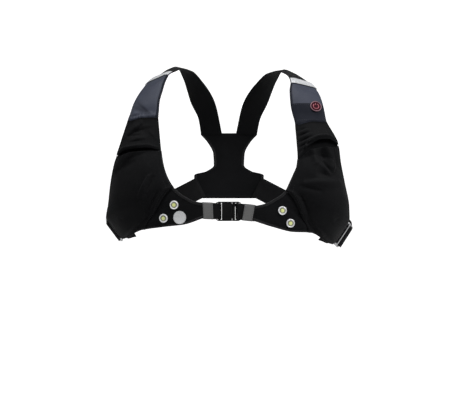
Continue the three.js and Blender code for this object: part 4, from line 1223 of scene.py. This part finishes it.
def pocket_places(side, panel, ups, shares):
    """The pocket's inner face. ups is 0 at its mouth and 1 at its foot. shares run from its inner seam."""
    mouth = MOUTH_ROWS[side]
    top = column(mouth, "top_row")(shares * MOUTH_STEPS)
    above = top + ups / POCKET_TURN * (CORNER_TOP - top)
    below = CORNER_TOP + (ups - POCKET_TURN) / (1 - POCKET_TURN) * (POCKET_END - CORNER_TOP)
    rows = np.where(ups < POCKET_TURN, above, below)
    first = seam_share(rows)
    across = first + shares * (1 - first)
    places = panel(rows, across)
    out, _, _ = facing(panel, rows, across)
    # Folds fade out at the sewn sides and the foot, and the pocket is fullest near its middle
    held = np.minimum(1, 3.2 * np.sin(np.pi * shares)) * np.minimum(1, 3 * (1 - ups))
    across_full = np.sin(np.pi * shares ** 0.75) ** 1.3
    down_full = np.sin(np.pi * np.minimum(1, 0.12 + ups)) ** 0.8
    mouth_lift = column(mouth, "top_lift")(shares * MOUTH_STEPS) * (1 - ups) ** 4
    full = np.maximum(POCKET_BELLY * across_full * down_full, mouth_lift) * (1 - ups ** 6)
    rise = fold_rise(POCKET_FOLDS[side], places) * held + crumple(places, *CRUMPLE["pocket"]) * held
    gather = gathers(shares, *MOUTH_GATHERS) * np.exp(-ups * 16)
    rise = rise + MOUTH_GATHER_HEIGHT * gather * held
    seam = seam_relief(rows, shares * (1 - first) * POCKET_WIDTH) * np.minimum(1, 6 * (1 - ups))
    # Dents and the seam's groove are each held to a share of the fullness
    stand = POCKET_STAND + np.maximum(full + rise, 0.35 * full) + np.maximum(seam, -0.8 * full)
    return places + out * stand[..., None]


def seam_relief(rows, from_seam):
    """The roll of cloth beside the pocket's inner seam and the groove beyond it."""
    beyond = np.maximum(from_seam - SEAM_ROLL_REACH, 0)
    roll = SEAM_ROLL * smooth(from_seam / 3.0) * np.exp(-(beyond / 3.0) ** 2)
    groove = SEAM_GROOVE * np.exp(-np.abs(from_seam - SEAM_GROOVE_AT) / 1.8)
    return (roll - groove) * smooth((rows - CORNER_TOP + 0.3) / 0.4)


def pocket_front(side, panel, away):
    ups, shares = cloth_grid((120, 0.006), (120, 0.006))
    places = pocket_places(side, panel, ups, shares)
    made = cloth_object(f"pocket_{side}", places, POCKET_WALL, STRETCH_CLOTH, away)
    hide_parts(f"pocket_front_{side}")
    declare_cloth(places)

    def line(ups, shares):
        near = np.stack([pocket_places(side, panel, ups, shares + d) for d in (-0.004, 0, 0.004)], 1)
        out = grid_facing(near)[:, 1]
        return near[:, 1] + out * POCKET_WALL, out

    across = np.linspace(0.03, 0.97, 110)
    down = np.linspace(0.5, 0.985, 110)
    lines = [line(np.full_like(across, up), across) for up in (0.022, 0.055)]
    lines += [line(down, np.full_like(down, share)) for share in (0.02, 0.05)]
    lines.append(line(np.linspace(0.03, 0.985, 150), np.full(150, 0.975)))
    stitched(f"pocket_stitches_{side}", lines, THREAD, away)


def panel_bindings(side, panel, away):
    stack = POCKET_STAND + POCKET_WALL + 0.1
    mouth = MOUTH_ROWS[side]
    neck = np.linspace(mouth[0]["hem_row"] + 0.04, PANEL_LAST - 0.02, 150)
    neck_tops = stack + (PANEL_WALL - stack) * smooth((neck - CORNER_TOP + 0.1) / 0.35)
    arm = np.linspace(mouth[-1]["hem_row"] + 0.03, CORNER_TOP - 0.02, 80)
    hem = np.linspace(CORNER_LOW + 0.03, PANEL_LAST - 0.02, 110)
    hem_tops = stack + (PANEL_WALL - stack) * smooth((hem - POCKET_END + 0.1) / 0.25)
    lines = [
        edge_binding(f"neck_binding_{side}", panel, neck, 0, neck_tops, away),
        edge_binding(f"arm_binding_{side}", panel, arm, 1, np.full_like(arm, stack), away),
        edge_binding(f"hem_binding_{side}", panel, hem, 1, hem_tops, away),
    ]
    stitched(f"binding_stitches_{side}", lines, THREAD, away)


# Lights, switch and patch


def front_light(side, place, panel, away):
    x, z = LIGHTS[side][place]
    row, share = locate(panel, x, z, 7.0, 0.5)
    out, _, _ = facing(panel, row, share)
    centre = panel(row, share) + out * (PANEL_WALL - 0.1)
    cup = LENS_RADIUS + 0.15
    top = LIGHT_HEIGHT
    bezel = [(cup, 0), (LIGHT_RADIUS, 0)]
    half = (LIGHT_RADIUS - cup) / 2
    bezel += arc((cup + half, top - half), half, 0, 170, 11)
    bezel += [(cup, top * 0.3)]
    name = f"{place}_{side}"
    ring = turned_object(f"light_ring_{name}", bezel, centre, out, BRIGHT_METAL, away)
    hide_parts(f"light_bezel_{name}")
    dome = [(0.02, 0), (LENS_RADIUS, 0), (LENS_RADIUS, top * 0.3)]
    for angle in range(10, 90, 10):
        turn = math.radians(angle)
        dome.append((LENS_RADIUS * math.cos(turn), top * (0.3 + 0.6 * math.sin(turn))))
    dome.append((0.02, top * 0.9))
    lens = turned_object(f"light_lens_dome_{name}", dome, centre, out, LAMP_LENS, away)
    shade_from_centre(lens, dome)
    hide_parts(f"light_lens_{name}")


def shade_from_centre(lens, profile):
    """Keeps each lens point's distance from the axis, as a share of the lens's radius."""
    segments = len(lens.data.vertices) // len(profile)
    shares = [radius / LENS_RADIUS for radius, _ in reversed(profile)]
    values = np.repeat(np.array(shares, np.float32), segments)
    lens.data.attributes.new("from_centre", "FLOAT", "POINT").data.foreach_set("value", values)


def switch(strap, away):
    (first, last), (neck, arm) = COVER_ROWS, COVER_SHARES
    ups, across_shares = cloth_grid((30, 0.03), (30, 0.02))
    shares = neck + across_shares * (arm - neck)
    rows = first + ups * (pad_end("left", shares) - STRAP_LAST + last - first)
    places, _ = on_pad("left", strap, rows, shares, COVER_GAP)
    made = cloth_object("switch_band", places, COVER_WALL, COVER_CLOTH, away)
    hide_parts("switch_cover")
    declare_cloth(places)
    lines = []
    across = np.linspace(neck + 0.03, arm - 0.03, 50)
    for row in (first + 0.07, last - 0.03):
        lines.append(on_pad("left", strap, np.full_like(across, row), across, COVER_GAP + COVER_WALL))
    stitched("switch_band_stitches", lines, PAD_THREAD, away)
    row, share = locate(strap, *SWITCH_AT, 9.2, 0.7)
    normal, along, _ = facing(strap, row, share)
    centre, _ = on_pad("left", strap, np.asarray(row), np.asarray(share), COVER_GAP + COVER_WALL)
    power_button(centre, normal, -along, away)


def power_button(centre, out, up, away):
    up = unit(up)
    floor = BUTTON_HEIGHT * 0.55
    radius = BUTTON_RADIUS
    disc = [(0.02, 0), (radius - 0.3, 0), (radius - 0.3, floor)]
    disc += [(radius - 2.0, floor + 0.1), (0.02, floor + 0.3)]
    base = turned_object("power_button_disc", disc, centre, out, BUTTON_DARK, away)
    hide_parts("power_button")
    ring = arc((radius - 0.6, floor), 0.6, 0, 330, 12)
    turned_object("power_button_ring", ring, centre, out, BUTTON_PALE, away)
    mark_radius = radius * 0.48
    circle = flat_ring(mark_radius, np.radians(np.linspace(125, 415, 44)), floor + 0.35)
    heights = np.linspace(mark_radius * 0.5, mark_radius + 1.0, 8)
    stroke = np.stack([np.zeros(8), heights, np.full(8, floor + 0.4)], -1)
    for name, line in (("power_mark_circle", circle), ("power_mark_stroke", stroke)):
        raised = on_surface(line, centre, out, up)
        tube_object(name, raised, out, 0.6, 0.4, BUTTON_RED, away)


def tube_object(name, line, out, half_width, half_height, material, away, closed=False):
    """A bar of oval section along a line. out is the direction of its height."""
    if closed:
        along = unit(np.roll(line, -1, axis=0) - np.roll(line, 1, axis=0))
    else:
        along = unit(np.gradient(line, axis=0))
    side = unit(np.cross(along, out))
    top = np.cross(side, along)
    turn = np.linspace(0, 2 * np.pi, 12, endpoint=False)
    rings = line[:, None] + half_width * np.cos(turn)[:, None] * side[:, None]
    rings = rings + half_height * np.sin(turn)[:, None] * top[:, None]
    return swept_object(name, rings[:, ::-1], material, away, closed)


def round_patch(panel, away):
    row, share = locate(panel, *PATCH_AT, 8.0, 0.6)
    out, _, _ = facing(panel, row, share)
    centre = panel(row, share) + out * (PANEL_WALL - 0.05)
    top = PATCH_WALL
    disc = [(0.02, 0), (PATCH_RADIUS, 0)]
    disc += arc((PATCH_RADIUS - 0.3, top - 0.3), 0.3, 0, 90, 4)
    disc += [(PATCH_RADIUS - 1.6, top), (PATCH_RADIUS - 1.9, top - 0.2), (0.02, top - 0.2)]
    made = turned_object("reflective_disc", disc, centre, out, PATCH_FILM, away)
    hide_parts("round_patch")
    circle = flat_ring(PATCH_RADIUS - 1.0, np.linspace(0, 2 * np.pi, 80), top)
    line = on_surface(circle, centre, out, UPRIGHT)
    stitched("reflective_disc_stitches", [(line, out)], PALE_THREAD, away)


# Webbing, adjusters and buckle


def ribbon(points, sideways, width, columns):
    """A grid along a line of points. sideways holds each point's direction across the ribbon."""
    points = np.asarray(points, float)
    before = points[np.maximum(np.arange(len(points)) - 1, 0)]
    after = points[np.minimum(np.arange(len(points)) + 1, len(points) - 1)]
    along = unit(after - before)
    sideways = np.asarray(sideways, float)
    across = unit(sideways - along * np.sum(sideways * along, axis=-1, keepdims=True))
    shares = np.linspace(-0.5, 0.5, columns + 1)
    return points[:, None] + across[:, None] * (shares * width)[:, None]


def webbing_object(name, places, away):
    """Webbing of even thickness about a grid, thinner at its selvedges."""
    out = grid_facing(places)
    swell = WEB_WALL / 2 * rim_round(places, 0.7)[..., None]
    return wall_object(name, places - out * swell, places + out * swell, WEBBING, away)


def fold_round(at, bar_at, radius, towards):
    """Points of a fold round a bar, from the inner layer, through the gap, to the outer layer."""
    turns = np.linspace(0, np.pi, 9)
    return [at(bar_at - towards * radius * math.sin(turn), 0, -radius * math.cos(turn)) for turn in turns]


def slide_frame(panel, tilt):
    """The adjuster's places, from the panel's cut corner, and its directions across the strap and out."""
    _, _, corner_across = facing(panel, (CORNER_TOP + CORNER_LOW) / 2, 1.0)
    top = panel(CORNER_TOP, 1.0)
    low = panel(CORNER_LOW, 1.0)
    across = unit(top - low)
    along = unit(corner_across - across * (corner_across @ across))
    along = along * math.cos(tilt) + np.cross(along, across) * math.sin(tilt)
    out = unit(np.cross(along, across))
    centre = (low + top) / 2 + along * SLIDE_REACH + out * PANEL_WALL / 2

    def at(length, width, height):
        return centre + along * length + across * width + out * height

    return at, across, out


def side_adjuster(side, slide, away):
    at, _, out = slide
    half_long = SLIDE_BAR_STEP + 0.2
    half_wide = (SLIDE_WIDTH - SLIDE_ARM) / 2
    outline = []
    for sign_long, sign_wide, start in ((1, 1, 0), (-1, 1, 90), (-1, -1, 180), (1, -1, 270)):
        middle = (sign_long * (half_long - SLIDE_CORNER), sign_wide * (half_wide - SLIDE_CORNER))
        outline += arc(middle, SLIDE_CORNER, start, start + 90, 7)
    line = np.array([at(length, width, 0) for length, width in outline])
    loop = tube_object(f"adjuster_loop_{side}", line, out, SLIDE_HALF, SLIDE_DEPTH / 2, SLIDE_METAL,
                       away, closed=True)
    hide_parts(f"side_adjuster_{side}")
    bar = np.array([at(0, width, 0) for width in np.linspace(-half_wide, half_wide, 12)])
    tube_object(f"adjuster_bar_{side}", bar, out, SLIDE_BAR_RADIUS, SLIDE_BAR_RADIUS, SLIDE_METAL,
                away)


def corner_tab(side, panel, slide, away):
    at, across, _ = slide
    columns = 12
    shares = np.arange(columns + 1) / columns
    under = []
    for inwards in (1, 0.75, 0.5, 0.25, 0):
        low_row = CORNER_LOW + TAB_HEM_ROWS * inwards
        top_row = CORNER_TOP + 0.08
        rows = low_row + shares * (top_row - low_row)
        across_shares = 1 - shares * TAB_SHARE * inwards
        places = panel(rows, across_shares) - facing(panel, rows, across_shares)[0] * TAB_UNDER
        places[0, 2] -= TAB_SHOW * min(1, 2 * inwards)
        under.append(places)
    lead = at(-SLIDE_BAR_STEP - TAB_LAP, 0, -SLIDE_FOLD)
    fold = fold_round(at, -SLIDE_BAR_STEP, SLIDE_FOLD, -1)
    end = at(-SLIDE_BAR_STEP - TAB_LAP, 0, SLIDE_FOLD)
    points = [lead, *fold, end]
    folded = ribbon(points, [across] * len(points), SIDE_WEB_WIDTH, columns)
    places = refine(np.concatenate([under, folded]), 4)
    made = webbing_object(f"tab_webbing_{side}", places, away)
    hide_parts(f"corner_tab_{side}")
    declare_cloth(places)


def side_strap(side, slide, away):
    at, across, _ = slide
    tail = at(SLIDE_BAR_STEP + SIDE_TAIL, 0, -SLIDE_FOLD - WEB_WALL)
    fold = fold_round(at, SLIDE_BAR_STEP, SLIDE_FOLD, 1)
    lead = at(SLIDE_BAR_STEP + 6, 0, SLIDE_FOLD)
    above, hem = BACK_ROWS[-2:]
    sewn_at = hem["half"] - SIDE_SEWN
    inside = hem["depth"] - BACK_ROUND * sewn_at ** 2 - WEB_WALL - 2 * SEAM_GAP
    end = np.array([sewn_at, inside, (above["height"] + hem["height"]) / 2])
    curve = refine(np.array([lead, *np.array(SIDE_POINTS, float), end])[:, None], 10)[:, 0]
    share = np.linspace(0, 1, len(curve))[:, None]
    near = refine(np.array([tail, *fold])[:, None], 3)[:, 0]
    sideways = np.concatenate([[across] * len(near), across * (1 - share) + UPRIGHT * share])
    places = ribbon(np.concatenate([near, curve]), sideways, SIDE_WEB_WIDTH, 16)
    made = webbing_object(f"side_webbing_{side}", places, away)
    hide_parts(f"side_strap_{side}")
    declare_cloth(places)


def chest_webbing(side, panel, away):
    first, second = panel(PANEL_LAST, 0.0), panel(PANEL_LAST, 1.0)
    out, _, _ = facing(panel, float(PANEL_LAST), 0.0)
    panel_up = unit(first - second)
    seam = (first + second) / 2 + out * PANEL_WALL / 2
    centre = BUCKLE_CENTRE * np.array([away, 1, 1])

    def at(length, width, height):
        return centre + np.array([length, -height, width])

    radius = BUCKLE_BAR_RADIUS + SEAM_GAP + WEB_WALL / 2
    fold = fold_round(at, BUCKLE_BAR_AT, radius, 1)
    tail = at(BUCKLE_BAR_AT + 5.5, 0, -radius)
    inwards = unit(fold[-1] - seam)
    lead = [seam + inwards * d for d in (SLEEVE_LENGTH + 0.5, SLEEVE_LENGTH / 2 + 0.5, 0.5, -WEB_SEWN)]
    points = refine(np.array([tail, *fold, *lead])[:, None], 4)[:, 0]
    share = smooth((np.arange(len(points)) / 4 - len(fold)) / 1.0)[:, None]
    places = ribbon(points, UPRIGHT * (1 - share) + panel_up * share, CHEST_WEB_WIDTH, 14)
    made = webbing_object(f"chest_strap_{side}", places, away)
    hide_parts(f"chest_webbing_{side}")
    declare_cloth(places)
    webbing_sleeve(side, lead, inwards, panel_up, away)


def webbing_sleeve(side, lead, inwards, panel_up, away):
    """A grey band sewn round the webbing."""
    out = unit(np.cross(panel_up, inwards))
    room = WEB_WALL / 2 + 0.25
    half_width = CHEST_WEB_WIDTH / 2 - 0.3
    turn = np.radians(np.linspace(-90, 90, 7))
    rings = []
    for extra, stations in ((SLEEVE_WALL, np.linspace(0, 1, 14)), (0.0, np.linspace(1, 0, 6))):
        half = room + extra
        wide = half_width - room + 0.2
        section = [(wide + half * math.cos(t), half * math.sin(t)) for t in turn]
        section += [(s, half) for s in np.linspace(wide, -wide, 22)[1:-1]]
        section += [(-wide - half * math.cos(t), -half * math.sin(t)) for t in turn]
        section += [(s, -half) for s in np.linspace(-wide, wide, 22)[1:-1]]
        section = np.array(section)
        for share in stations:
            middle = lead[0] + (lead[2] - lead[0]) * share
            rings.append(middle + section[:, :1] * panel_up + section[:, 1:] * out)
    made = swept_object(f"grey_sleeve_{side}", rings, SLEEVE_CLOTH, away, closed=True)
    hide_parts(f"webbing_sleeve_{side}")
    lines = []
    for share in (0.08, 0.92):
        middle = lead[0] + (lead[2] - lead[0]) * share
        widths = np.linspace(-half_width + 1.5, half_width - 1.5, 12)
        for sign in (1, -1):
            line = middle + widths[:, None] * panel_up + sign * out * (room + SLEEVE_WALL)
            lines.append((line, sign * out))
    stitched(f"grey_sleeve_stitches_{side}", lines, PAD_THREAD, away)


def chest_buckle():
    """The buckle's solids, with their edges eased and the finish of moulded plastic."""
    for node in ("buckle_socket", "buckle_plug"):
        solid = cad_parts[node]
        solid.data.materials.clear()
        solid.data.materials.append(BLACK_PLASTIC)
        eased = solid.modifiers.new("eased_edges", "BEVEL")
        eased.width = BUCKLE_EASE * MM
        eased.segments = 2
        eased.limit_method = "ANGLE"
        eased.angle_limit = math.radians(BUCKLE_EASE_ANGLE)
        eased.harden_normals = False


# Back panel


def back_panel():
    height, half, depth = (column(BACK_ROWS, key) for key in ("height", "half", "depth"))

    def point(row, share):
        row, share = np.broadcast_arrays(np.asarray(row, float), np.asarray(share, float))
        x = (1 - 2 * share) * half(np.maximum(row, 0))
        return np.stack([x, depth(np.maximum(row, 0)) - BACK_ROUND * x ** 2, height(row)], -1)

    last = len(BACK_ROWS) - 1
    first = -0.25
    downs, shares = cloth_grid((80, 0.008), (40, 0.02))
    rows = first + downs * (last - first)
    places = point(rows, shares)
    held = np.sin(np.pi * np.clip(shares, 0, 1))
    rise = crumple(places, *CRUMPLE["back"]) * held
    places = places + facing(point, rows, shares)[0] * rise[..., None]
    made = cloth_object("back_cloth", places, PANEL_WALL, PANEL_CLOTH)
    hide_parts("back_panel")
    declare_cloth(places)
    lines = []
    down = np.linspace(first + 0.03, last - 0.03, 120)
    for share, name in ((0, "back_binding_left"), (1, "back_binding_right")):
        lines.append(edge_binding(name, point, down, share, np.full_like(down, PANEL_WALL)))
    across = np.linspace(0.04, 0.96, 60)
    for row in (first + 0.12, 0.1, last - 0.1):
        lines.append(surface_line(point, row, across, PANEL_WALL))
    stitched("back_cloth_stitches", lines, THREAD)


# Floor, light and camera, in metres

# The floor: its height, where it begins, where it bends up, the radius of that bend, its top and half width
FLOOR_HEIGHT = -0.62
FLOOR_FRONT = -3.0
FLOOR_BACK = 2.4
FLOOR_BEND = 0.9
FLOOR_TOP = 3.0
FLOOR_HALF_WIDTH = 3.5

# How bright the air is as a light, and the floor's tones to the camera, as a source of light and as a glow
AIR_LIGHT = 0.12
FLOOR_TONES = ((0.86, 0.86, 0.86), (0.89, 0.89, 0.89))
FLOOR_BOUNCE = (0.68, 0.68, 0.68)
FLOOR_GLOW = (0.75, 0.75, 0.75)

# Lamps: their places, widths and power. All are turned to LAMP_AIM.
LAMP_AIM = Vector((0.0, -0.05, -0.15))
LAMPS = (
    ("right_light", (1.7, -0.8, 1.0), 0.8, 36.0),
    ("left_light", (-1.7, -0.8, 1.0), 0.8, 16.0),
    ("top_light", (0.0, -0.4, 1.6), 1.0, 26.0),
    ("back_light", (0.2, 1.9, 1.1), 1.0, 22.0),
)

# Camera: its place, its sensor in millimetres, and its focal length and picture in pixels
CAMERA_PLACE = (-0.0071, -2.0, -0.221)
SENSOR_WIDTH = 36.0
FOCAL_LENGTH = 1176.0
PICTURE_WIDTH = 450.0


def air():
    """White to the camera, and dim as a light."""
    bpy.context.scene.view_settings.view_transform = "Standard"
    world = bpy.data.worlds.new("studio_air")
    bpy.context.scene.world = world
    world.use_nodes = True
    sky = world.node_tree.nodes["Background"]
    sky.inputs["Color"].default_value = (1.0, 1.0, 1.0, 1.0)
    path = world.node_tree.nodes.new("ShaderNodeLightPath")
    seen = ranged(world.node_tree, path.outputs["Is Camera Ray"], 0.0, 1.0, AIR_LIGHT, 1.0)
    world.node_tree.links.new(seen, sky.inputs["Strength"])


def pale_floor():
    """A floor that bends up behind. The camera sees it pale and glowing, and light finds it darker."""
    paper = Finish("pale_floor", Emission_Strength=1.0)
    fibre = paper.group(HANDLED_CLOTH, paper.places.outputs["Object"], Patch=3.0)
    paper_path = paper.tree.nodes.new("ShaderNodeLightPath")
    pale = paper.mix(fibre["Fade"], *FLOOR_TONES)
    paper.colour(paper.mix(paper_path.outputs["Is Camera Ray"], FLOOR_BOUNCE, pale))
    paper.roughness(fibre["Fade"], 0.85, 0.95)
    glow = paper.mix(paper_path.outputs["Is Camera Ray"], (0.0, 0.0, 0.0), FLOOR_GLOW)
    paper.tree.links.new(glow, paper.shader.inputs["Emission Color"])
    turn = arc((0, 0), FLOOR_BEND, -90, 0, 14)
    profile = [(FLOOR_FRONT, FLOOR_HEIGHT), (FLOOR_BACK, FLOOR_HEIGHT)]
    profile += [(FLOOR_BACK + y, FLOOR_HEIGHT + FLOOR_BEND + z) for y, z in turn]
    profile += [(FLOOR_BACK + FLOOR_BEND, FLOOR_TOP)]
    points = [(x, y, z) for y, z in profile for x in (-FLOOR_HALF_WIDTH, FLOOR_HALF_WIDTH)]
    faces = [(2 * i, 2 * i + 1, 2 * i + 3, 2 * i + 2) for i in range(len(profile) - 1)]
    mesh = bpy.data.meshes.new("pale_floor")
    mesh.from_pydata(points, [], faces)
    mesh.polygons.foreach_set("use_smooth", [True] * len(mesh.polygons))
    mesh.materials.append(paper.material)
    floor = bpy.data.objects.new("pale_floor", mesh)
    bpy.context.scene.collection.objects.link(floor)


def lamps():
    """Soft lamps. The one behind gives no glints, so that the black cloth at the back stays black."""
    for name, place, size, power in LAMPS:
        lamp = bpy.data.lights.new(name, "AREA")
        lamp.size = size
        lamp.energy = power
        holder = bpy.data.objects.new(name, lamp)
        holder.location = place
        holder.visible_glossy = place[1] < 0
        holder.rotation_euler = (LAMP_AIM - Vector(place)).to_track_quat("-Z", "Y").to_euler()
        bpy.context.scene.collection.objects.link(holder)


def front_camera():
    lens = bpy.data.cameras.new("photo_camera")
    lens.sensor_width = SENSOR_WIDTH
    lens.lens = SENSOR_WIDTH * FOCAL_LENGTH / PICTURE_WIDTH
    camera = bpy.data.objects.new("photo_camera", lens)
    camera.location = CAMERA_PLACE
    camera.rotation_euler = (math.radians(90), 0.0, 0.0)
    bpy.context.scene.collection.objects.link(camera)
    bpy.context.scene.camera = camera


def vest_side(side, away):
    panel = loft(PANEL_ROWS[side], True)
    strap = loft(STRAP_ROWS[side], False)
    slide = slide_frame(panel, SLIDE_TILT[side])
    shoulder_pad(side, strap, away)
    back_strap(side, strap, away)
    reflective_tape(side, strap, away)
    chest_panel(side, panel, away)
    pocket_flap(side, panel, away)
    pocket_front(side, panel, away)
    panel_bindings(side, panel, away)
    for place in LIGHTS[side]:
        front_light(side, place, panel, away)
    side_adjuster(side, slide, away)
    corner_tab(side, panel, slide, away)
    side_strap(side, slide, away)
    chest_webbing(side, panel, away)
    if side == "left":
        switch(strap, away)
    else:
        round_patch(panel, away)


air()
pale_floor()
lamps()
front_camera()
for side_name, side_away in SIDES.items():
    vest_side(side_name, side_away)
back_panel()
chest_buckle()
